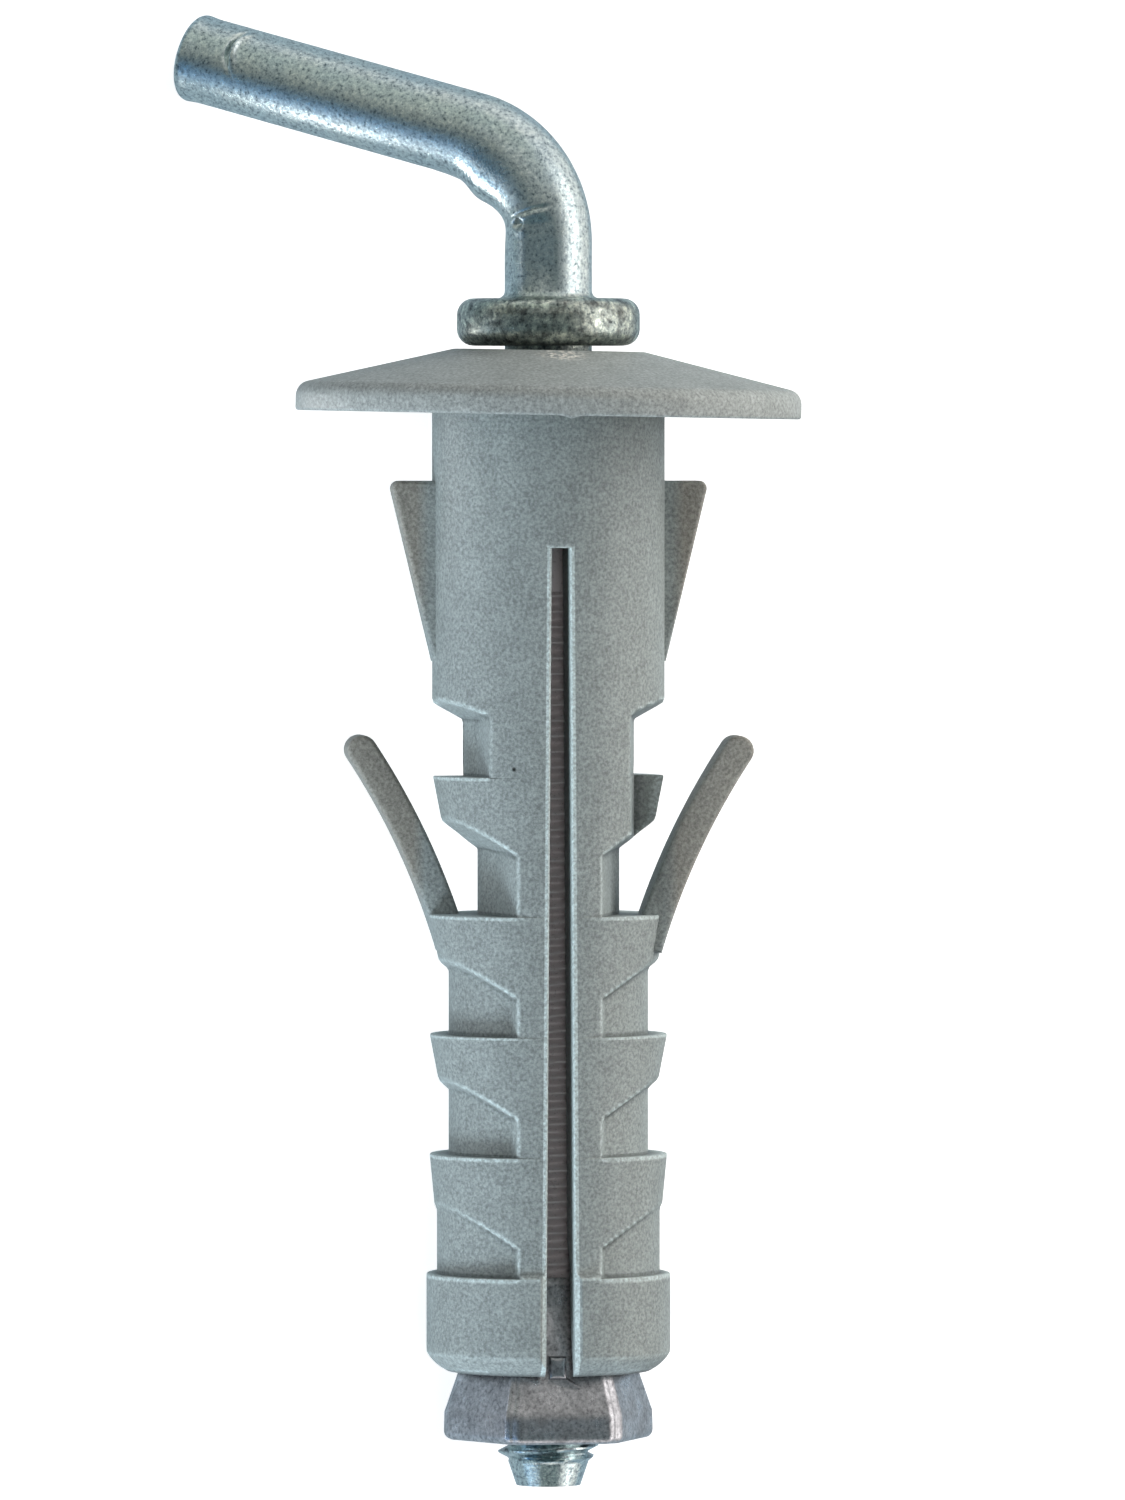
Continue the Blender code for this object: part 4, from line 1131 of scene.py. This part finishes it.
# Measure for the sleeve's painted light: a painted highlight on edges and painted shade in creases
def wear(height, angles, full):
    """How far each point stands out from those around it, from minus one in a crease to one on an
    edge: its radius less the mean radius at a small step up, down, left and right, over a share
    of the step."""
    here = sleeve_radius(height, angles, full)
    round_it = RELIEF_STEP / full
    around = (sleeve_radius(height + RELIEF_STEP, angles, full)
              + sleeve_radius(height - RELIEF_STEP, angles, full)
              + sleeve_radius(height, angles + round_it, full)
              + sleeve_radius(height, angles - round_it, full))
    return np.clip((here - around / 4) / (RELIEF_STEP * RELIEF_SHARE), -1.0, 1.0)


def sleeve_angles():
    """Angles of the sleeve's columns: even steps, drawn together at the spine's walls and at the
    guide barbs' flat sides."""
    even = np.linspace(0.0, 2 * math.pi, SLEEVE_COLUMNS, endpoint=False)
    spine = np.radians(np.arange(*SPINE_COLUMNS_DEG))
    close = [side * math.pi / 2 + way * spine for side in (1, 3) for way in (-1, 1)]
    flats = [middle + np.array(FLAT_COLUMNS) for middle in (0.0, math.pi)]
    angles = np.concatenate([even, *close, *flats]) % (2 * math.pi)
    angles = np.unique(angles.round(5))
    return angles[np.concatenate([np.diff(angles) > COLUMN_GAP, [True]])]


def slab(name, outline, near, far, turn):
    """A flat moulded bar from an outline in X and Z, given a thickness along Y.

    Its layers are the outline drawn in by the edge's rounding times one minus the sine of an
    angle, at a depth of the rounding times one minus its cosine, then the same in reverse.
    """
    outline = np.asarray(outline, dtype=float)
    before, after = np.roll(outline, 1, axis=0), np.roll(outline, -1, axis=0)
    first, second = outline - before, after - outline
    first /= np.linalg.norm(first, axis=1)[:, None]
    second /= np.linalg.norm(second, axis=1)[:, None]
    tangent = first + second
    tangent /= np.linalg.norm(tangent, axis=1)[:, None]
    area = np.sum(outline[:, 0] * after[:, 1] - after[:, 0] * outline[:, 1])
    inward = np.stack([-tangent[:, 1], tangent[:, 0]], axis=1) * math.copysign(1.0, area)
    angle = np.linspace(0.0, math.pi / 2, 5)
    inset = EDGE_ROUND * (1 - np.sin(angle))
    depth = EDGE_ROUND * (1 - np.cos(angle))
    insets = np.concatenate([inset, inset[::-1]])
    layers = np.concatenate([near + depth, far - depth[::-1]])
    flat = outline[None] + insets[:, None, None] * inward[None]
    depths = np.broadcast_to(layers[:, None], flat.shape[:2])
    points = np.stack([flat[..., 0], depths, flat[..., 1]], axis=-1)
    points = turned_by(points.reshape(-1, 3), turn)
    return solid(name, points, grid_faces(len(layers), len(outline), ring_shaped=False))


def wing_outline(side):
    """The wing: half its thickness to each side of a bowed line, closed by a round tip."""
    root, tip = np.array(WING_ROOT), np.array(WING_TIP)
    chord = tip - root
    outwards = np.array([chord[1], -chord[0]]) / np.hypot(*chord)
    share = np.linspace(0, 1, 28)[:, None]
    middle = root + chord * share - outwards * 4 * WING_BOW * share * (1 - share)
    tangent = chord - outwards * 4 * WING_BOW * (1 - 2 * share)
    normal = np.stack([tangent[:, 1], -tangent[:, 0]], axis=1)
    normal /= np.linalg.norm(normal, axis=1)[:, None]
    half = WING_THICKNESS / 2
    start = math.degrees(math.atan2(normal[-1][1], normal[-1][0]))
    round_tip = quarter_arc(tip, half, start, start + 180, 15)[1:-1]
    outline = np.vstack([middle + normal * half, round_tip, (middle - normal * half)[::-1]])
    return outline * [side, 1.0]


def fin_outline(side, full, rod):
    """The fin: a square shoulder with a round corner, and an edge that runs in."""
    inside = (full + rod) / 2
    shoulder = quarter_arc((FIN_REACH - FIN_CORNER, -(FIN_DEPTH + FIN_CORNER)), FIN_CORNER,
                           90, -FIN_SLOPE_DEG, 9)
    foot = -(FIN_DEPTH + FIN_LENGTH)
    run = (shoulder[-1][1] - foot) * math.tan(math.radians(FIN_SLOPE_DEG))
    outline = np.vstack([[[inside, -FIN_DEPTH]], shoulder,
                         [[shoulder[-1][0] - run, foot], [inside, foot]]])
    return outline * [side, 1.0]


def slot_tool(turn):
    """A cutter for both slots: a bar through the sleeve, wider towards the mouth, whose sides
    spread at the barrel's surface to break the edges."""
    end = -sleeve_end()
    below = end - SLOT_TOOL_BELOW
    top, mouth = SLOT_TOP_WIDTH / 2, SLOT_MOUTH_WIDTH / 2
    wide = mouth + (mouth - top) * (end - below) / (-SLOT_DEPTH - end)
    reach, edge = SLOT_TOOL_REACH, SLOT_BREAK_RADIUS
    spread_out = (reach - edge) * SLOT_EDGE_WIDTH / SLOT_BREAK_DEPTH
    rings = []
    for half, height in ((top, -SLOT_DEPTH), (wide, below)):
        outer = half + spread_out
        rings.append([(half, -edge, height), (half, edge, height), (outer, reach, height),
                      (-outer, reach, height), (-half, edge, height), (-half, -edge, height),
                      (-outer, -reach, height), (outer, -reach, height)])
    points = turned_by(np.array(rings).reshape(-1, 3), turn)
    return solid("Slots", points, grid_faces(2, 8, ring_shaped=False))


def make_sleeve(sizes, material):
    """The moulded sleeve: a closed grid of its outside and its bore, joined to wings and fins and
    cut by the slots."""
    full = sizes.sleeve_diameter / 2
    rod = sizes.rod_diameter / 2
    turn = math.radians(SLEEVE_TURN_DEG)
    angles = sleeve_angles()
    heights = sleeve_heights()
    outside = sleeve_radius(heights[:, None], angles, full)
    head = np.array([[full - SLEEVE_HEAD_BREAK, SLEEVE_HEAD],
                     [full - SLEEVE_HEAD_EDGE, SLEEVE_HEAD - SLEEVE_HEAD_EDGE]])
    bore = rod + CLEARANCE
    cavity = NUT_DEPTH - NUT_TRAVEL - NUT_CLEARANCE
    neck = NUT_NECK_RADIUS + NUT_CLEARANCE
    slope = (NUT_CONE_RADIUS - NUT_NECK_RADIUS) / NUT_CONE_LENGTH
    end = -heights[-1]
    below = neck + (end - NUT_DEPTH - NUT_NECK_LENGTH) * slope
    inner = spread([(below, -end), (neck, -(NUT_DEPTH + NUT_NECK_LENGTH)), (neck, -cavity),
                    (bore, neck - bore - cavity), (bore, SLEEVE_HEAD)], BORE_STEP)
    columns = len(angles)
    radius = np.vstack([np.repeat(head[:, :1], columns, axis=1), outside,
                        np.repeat(inner[:, :1], columns, axis=1)])
    height = np.concatenate([head[:, 1], heights, inner[:, 1]])[:, None]
    height = np.repeat(height, columns, axis=1)
    points = turned_by(turned_profile(radius, angles, height).reshape(-1, 3), turn)
    sleeve = solid("moulded_sleeve", points, grid_faces(len(height), columns, ring_shaped=True))
    # Painted highlight on the edges and painted shade in the creases, kept as an attribute
    painted_light_and_shade = np.zeros(height.shape)
    painted_light_and_shade[len(head):len(head) + len(heights)] = wear(heights[:, None], angles, full)
    layer = sleeve.data.attributes.new(PAINTED_LIGHT_LAYER, "FLOAT", "POINT")
    layer.data.foreach_set("value", painted_light_and_shade.reshape(-1).astype(np.float32))
    near, far = WING_OFFSET, WING_OFFSET + WING_WIDTH
    half_fin = FIN_THICKNESS / 2
    for name, outline, first, last in (
            ("Right wing", wing_outline(1), -far, -near),
            ("Left wing", wing_outline(-1), near, far),
            ("Right fin", fin_outline(1, full, rod), -half_fin, half_fin),
            ("Left fin", fin_outline(-1, full, rod), -half_fin, half_fin)):
        cut(sleeve, slab(name, outline, first, last, turn), "UNION")
    cut(sleeve, slot_tool(turn), "DIFFERENCE")
    finished(sleeve, material, "plug_sleeve", "sleeve")


def make_nut(material):
    """The cone nut: a turned cone whose radius is held back at the flats, with two lugs.

    At each angle the radius is the lesser of the round one and the flat's distance over the
    cosine of the angle from the flat's middle, with the corner between them eased, and a faint
    groove along it. Each lug is a slim bar with a wider foot below it.
    """
    turn = math.radians(SLEEVE_TURN_DEG)
    neck_end = NUT_DEPTH + NUT_NECK_LENGTH
    cone_end = neck_end + NUT_CONE_LENGTH
    band_end = cone_end + NUT_BAND_LENGTH
    rounding = NUT_EDGE_ROUND
    outer = np.vstack([[[NUT_BORE_RADIUS, -NUT_DEPTH], [NUT_TOP_RADIUS - NUT_TOP_BREAK, -NUT_DEPTH],
                        [NUT_TOP_RADIUS, -NUT_DEPTH - NUT_TOP_BREAK],
                        [NUT_NECK_RADIUS, -neck_end], [NUT_CONE_RADIUS, -cone_end]],
                       quarter_arc((NUT_BAND_RADIUS - rounding, -band_end), rounding, 0, -90),
                       [[NUT_BORE_RADIUS + NUT_BORE_BREAK, -(band_end + rounding)],
                        [NUT_BORE_RADIUS, -(band_end + rounding - NUT_BORE_BREAK)]]])
    profile = spread(outer, NUT_STEP)
    angles = np.linspace(0.0, 2 * math.pi, NUT_COLUMNS, endpoint=False)
    sector = 2 * math.pi / NUT_FLATS
    from_flat = angles + math.pi / 2 - math.radians(NUT_FLATS_TURN_DEG)
    from_flat = (from_flat + sector / 2) % sector - sector / 2
    flat = (1 - NUT_FLATNESS) / np.cos(from_flat)
    flat = smooth_min(np.ones_like(flat), flat, NUT_CORNER_EASE)
    corner = sector / 2 - np.abs(from_flat)
    on_cone = (profile[:, 1:] < -neck_end) & (profile[:, :1] > NUT_NECK_RADIUS)
    groove = NUT_GROOVE_DEPTH * bell(corner[None, :] / NUT_GROOVE_HALF, 0.0) * on_cone
    radius = profile[:, :1] * flat[None, :] - groove
    radius = np.maximum(radius, NUT_BORE_RADIUS)
    height = np.repeat(profile[:, 1:], NUT_COLUMNS, axis=1)
    points = turned_by(turned_profile(radius, angles, height).reshape(-1, 3), turn)
    nut = solid("expander_nut", points, grid_faces(len(profile), NUT_COLUMNS, ring_shaped=True))
    top = sleeve_end() - LUG_STANDOUT
    flare = top + LUG_LENGTH
    foot = flare + LUG_FLARE_LENGTH
    low = foot + LUG_FOOT_LENGTH
    slim, wide = LUG_WIDTH / 2, LUG_FOOT_WIDTH / 2
    inside = NUT_BORE_RADIUS + NUT_BORE_BREAK
    for reach, corners in (
            (LUG_REACH, [(slim, -top), (slim, -flare)]),
            (LUG_FOOT_REACH, [(slim, -flare + LUG_OVERLAP), (wide, -foot), (wide, -low)])):
        right = np.array(corners)
        outline = np.vstack([right, right[::-1] * [-1.0, 1.0], right[:1]])
        outline = spread(outline, NUT_STEP)[:-1]
        for side in (-1, 1):
            near, far = sorted((side * inside, side * reach))
            cut(nut, slab("Lug", outline, near, far, turn), "UNION")
    finished(nut, material, "cone_nut", "nut")


def picture_axes(azimuth):
    """The camera's right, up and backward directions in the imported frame."""
    right = -math.sin(azimuth) * DIRECTIONS[0] + math.cos(azimuth) * DIRECTIONS[1]
    back = math.cos(azimuth) * DIRECTIONS[0] + math.sin(azimuth) * DIRECTIONS[1]
    return right, DIRECTIONS[2], back


def looking(position, target, up):
    """A matrix for a camera or lamp at a position, looking at a target."""
    back = position - target
    back = back / np.linalg.norm(back)
    right = np.cross(up, back)
    right = right / np.linalg.norm(right)
    matrix = np.eye(4)
    matrix[:3, :3] = np.stack([right, np.cross(back, right), back], axis=1)
    matrix[:3, 3] = position
    return Matrix(matrix.tolist())


def make_camera(stage):
    """The camera, level with the rosette and looking a little down the sleeve."""
    right, up, back = picture_axes(stage.camera_azimuth)
    position = ORIGIN + back * stage.camera_distance + up * CAMERA_LIFT
    target = ORIGIN - up * CAMERA_AIM_DEPTH + right * CAMERA_AIM_RIGHT
    data = bpy.data.cameras.new("Camera")
    data.sensor_width = SENSOR_WIDTH_MM
    data.lens = data.sensor_width * stage.camera_distance / stage.view_height
    data.clip_start, data.clip_end = CLIP_NEAR, CLIP_FAR
    camera = placed("Camera", data)
    camera.matrix_world = looking(position, target, up)
    bpy.context.scene.camera = camera


def make_lamp(name, stage, around, above, distance, width, height, power, colour, seen_by):
    """An area lamp, placed by its angle round the plug from the camera and above the picture."""
    right, up, back = picture_axes(stage.camera_azimuth)
    around, above = math.radians(around), math.radians(above)
    direction = (math.cos(above) * (math.cos(around) * back + math.sin(around) * right)
                 + math.sin(above) * up)
    target = ORIGIN - up * LIGHT_DEPTH
    data = bpy.data.lights.new(name, "AREA")
    data.shape = "RECTANGLE"
    data.size, data.size_y = width, height
    data.energy = power
    data.color = colour
    lamp = placed(name, data)
    lamp.matrix_world = looking(target + direction * distance, target, up)
    lamp.visible_glossy = seen_by != "DIFFUSE"
    lamp.visible_diffuse = seen_by != "GLOSSY"


def make_card(name, stage, around, above, shades):
    """A reflection card that only gloss sees: a patch of a sphere round the plug.

    A point is the card's distance times a direction, whose angle round the plug and angle above
    the picture's middle run evenly over the card. Its shade follows the angle above.
    """
    right, up, back = picture_axes(stage.camera_azimuth)
    target = ORIGIN - up * LIGHT_DEPTH
    rows, columns = CARD_ROWS, CARD_COLUMNS
    across, rise = np.meshgrid(np.radians(np.linspace(*around, columns)),
                               np.radians(np.linspace(*above, rows)))
    points = (np.cos(rise)[..., None] * (np.cos(across)[..., None] * back
                                         + np.sin(across)[..., None] * right)
              + np.sin(rise)[..., None] * up) * CARD_DISTANCE + target
    corner = (np.arange(rows - 1)[:, None] * columns + np.arange(columns - 1)).reshape(-1)
    faces = np.stack([corner, corner + 1, corner + columns + 1, corner + columns], axis=1)
    mesh = bpy.data.meshes.new(name)
    mesh.from_pydata(points.reshape(-1, 3).tolist(), [], faces.tolist())
    material, tree, shader, place = new_material(name)
    height = along(tree, place, up / CARD_DISTANCE)
    rises = [math.sin(math.radians(angle)) for angle, _ in shades]
    lowest, highest = rises[0], rises[-1]
    shift = LIGHT_DEPTH / CARD_DISTANCE
    share = between(tree, height, lowest - shift, highest - shift)
    stops = [((rise - lowest) / (highest - lowest), shade)
             for rise, (_, shade) in zip(rises, shades)]
    tree.links.new(ramp_node(tree, share, stops), shader.inputs["Emission Color"])
    card_only_gloss_sees(name, mesh, material, shader, 1.0)


def make_floor_card(name, corners, colour, strength, lift):
    """A reflection card just above the floor: four corners in X and Y, and one even glow."""
    mesh = bpy.data.meshes.new(name)
    mesh.from_pydata([(x, y, lift) for x, y in corners], [], [(0, 1, 2, 3)])
    material, _, shader, _ = new_material(name)
    shader.inputs["Emission Color"].default_value = (*colour, 1.0)
    card_only_gloss_sees(name, mesh, material, shader, strength)


def card_only_gloss_sees(name, mesh, material, shader, strength):
    """A card's object: it glows, reflects nothing, and is seen only by rays off a gloss."""
    shader.inputs["Emission Strength"].default_value = strength
    shader.inputs["Base Color"].default_value = (0.0, 0.0, 0.0, 1.0)
    shader.inputs["Specular IOR Level"].default_value = 0.0
    mesh.materials.append(material)
    card = placed(name, mesh)
    card.visible_camera = False
    card.visible_diffuse = False
    card.visible_shadow = False
    card.visible_transmission = False


def background_rays(tree):
    """One for rays straight from the camera, and one for rays off a gloss or through glass."""
    path = tree.nodes.new("ShaderNodeLightPath")
    reflected = math_node(tree, "MAXIMUM", path.outputs["Is Glossy Ray"],
                          path.outputs["Is Transmission Ray"])
    return path.outputs["Is Camera Ray"], reflected


def make_world(stage):
    """An even sky, white where it is seen."""
    world = bpy.data.worlds.new("Studio")
    world.use_nodes = True
    tree = world.node_tree
    background = tree.nodes["Background"]
    background.inputs["Color"].default_value = (1.0, 1.0, 1.0, 1.0)
    strength = tree.nodes.new("ShaderNodeMix")
    strength.data_type = "FLOAT"
    strength.inputs[2].default_value = stage.sky
    strength.inputs[3].default_value = 1.0
    seen = math_node(tree, "MAXIMUM", *background_rays(tree))
    tree.links.new(seen, strength.inputs[0])
    tree.links.new(strength.outputs[0], background.inputs["Strength"])
    bpy.context.scene.world = world


def make_floor(colours):
    """A round pale floor: rings of points whose distance from the middle grows evenly."""
    radius = np.linspace(FLOOR_INNER, FLOOR_OUTER, FLOOR_RINGS)[:, None]
    angles = np.linspace(0.0, 2 * math.pi, FLOOR_COLUMNS, endpoint=False)[None, :]
    points = turned_profile(radius, angles, 0 * radius * angles)
    faces = grid_faces(FLOOR_RINGS, FLOOR_COLUMNS, ring_shaped=False)[:-1]
    mesh = bpy.data.meshes.new("Floor")
    mesh.from_pydata(points.reshape(-1, 3).tolist(), [], faces)
    floor = placed("Floor", mesh)
    material, tree, shader, _ = new_material("Pale floor")
    shader.inputs["Base Color"].default_value = (*colours.floor, 1.0)
    shader.inputs["Roughness"].default_value = FLOOR_ROUGHNESS
    shader.inputs["Specular IOR Level"].default_value = FLOOR_SPECULAR
    seen, reflected = background_rays(tree)
    glow = math_node(tree, "MAXIMUM", product(tree, seen, FLOOR_GLOW),
                     product(tree, reflected, FLOOR_GLOW_IN_GLOSS))
    shader.inputs["Emission Color"].default_value = (1.0, 1.0, 1.0, 1.0)
    tree.links.new(glow, shader.inputs["Emission Strength"])
    mesh.materials.append(material)


class PLUG_OT_hook(bpy.types.Operator):
    """Builds the bent rod with its collar and thread"""
    bl_idname = "plug.hook"
    bl_label = "Angle Hook"

    def execute(self, context):
        make_hook(context.scene.plug_sizes, zinc_material(context.scene.plug_finishes))
        return {"FINISHED"}


class PLUG_OT_rosette(bpy.types.Operator):
    """Builds the moulded cap"""
    bl_idname = "plug.rosette"
    bl_label = "Rosette"

    def execute(self, context):
        colour = tuple(context.scene.plug_finishes.rosette_nylon)
        nylon = nylon_material("Rosette nylon", colour, ROSETTE_BUMP, scar=TORN_NYLON)
        make_rosette(context.scene.plug_sizes, nylon)
        return {"FINISHED"}


class PLUG_OT_sleeve(bpy.types.Operator):
    """Builds the moulded sleeve with its wings, fins, barbs and slots"""
    bl_idname = "plug.sleeve"
    bl_label = "Sleeve"

    def execute(self, context):
        colours = context.scene.plug_finishes
        nylon = nylon_material("Sleeve nylon", tuple(colours.sleeve_nylon), SLEEVE_BUMP,
                               tuple(colours.painted_shade_nylon), tuple(colours.painted_highlight_nylon))
        make_sleeve(context.scene.plug_sizes, nylon)
        return {"FINISHED"}


class PLUG_OT_nut(bpy.types.Operator):
    """Builds the cone nut with its two lugs"""
    bl_idname = "plug.nut"
    bl_label = "Cone Nut"

    def execute(self, context):
        make_nut(nut_material(context.scene.plug_finishes))
        return {"FINISHED"}


class PLUG_OT_stage(bpy.types.Operator):
    """Sets up the floor, the light and the camera"""
    bl_idname = "plug.stage"
    bl_label = "Floor, Light and Camera"

    def execute(self, context):
        stage = context.scene.plug_stage
        make_floor(context.scene.plug_finishes)
        make_world(stage)
        for name, power, *place, colour, seen_by in LAMPS:
            make_lamp(name, stage, *place, getattr(stage, power), colour, seen_by)
        for name, around, above, shades in ROUND_CARDS:
            make_card(name, stage, around, above, shades)
        for name, colour, strength, lift, corners in FLOOR_CARDS:
            make_floor_card(name, corners, colour, strength, lift)
        make_camera(stage)
        context.scene.view_settings.view_transform = "Standard"
        return {"FINISHED"}


class PLUG_PT_panel(bpy.types.Panel):
    """Lists the plug's sizes, finishes and pieces"""
    bl_idname = "PLUG_PT_panel"
    bl_label = "Wall Plug"
    bl_space_type = "VIEW_3D"
    bl_region_type = "UI"
    bl_category = "Wall Plug"

    def draw(self, context):
        layout = self.layout
        for group in (context.scene.plug_sizes, context.scene.plug_finishes,
                      context.scene.plug_stage):
            box = layout.box()
            for name in group.__annotations__:
                box.prop(group, name)
        for operator in PIECES:
            layout.operator(operator.bl_idname)


PIECES = (PLUG_OT_hook, PLUG_OT_rosette, PLUG_OT_sleeve, PLUG_OT_nut, PLUG_OT_stage)
CLASSES = (PlugSizes, PlugFinishes, PlugStage, *PIECES, PLUG_PT_panel)


def register():
    """Registers the classes and adds their settings to the scene."""
    for cls in CLASSES:
        bpy.utils.register_class(cls)
    bpy.types.Scene.plug_sizes = bpy.props.PointerProperty(type=PlugSizes)
    bpy.types.Scene.plug_finishes = bpy.props.PointerProperty(type=PlugFinishes)
    bpy.types.Scene.plug_stage = bpy.props.PointerProperty(type=PlugStage)


def unregister():
    """Takes the settings and classes away again."""
    del bpy.types.Scene.plug_stage
    del bpy.types.Scene.plug_finishes
    del bpy.types.Scene.plug_sizes
    for cls in reversed(CLASSES):
        bpy.utils.unregister_class(cls)


def main():
    """Builds every piece and the stage."""
    register()
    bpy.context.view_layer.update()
    bpy.ops.plug.hook()
    bpy.ops.plug.rosette()
    bpy.ops.plug.sleeve()
    bpy.ops.plug.nut()
    bpy.ops.plug.stage()


if __name__ == "__main__":
    main()
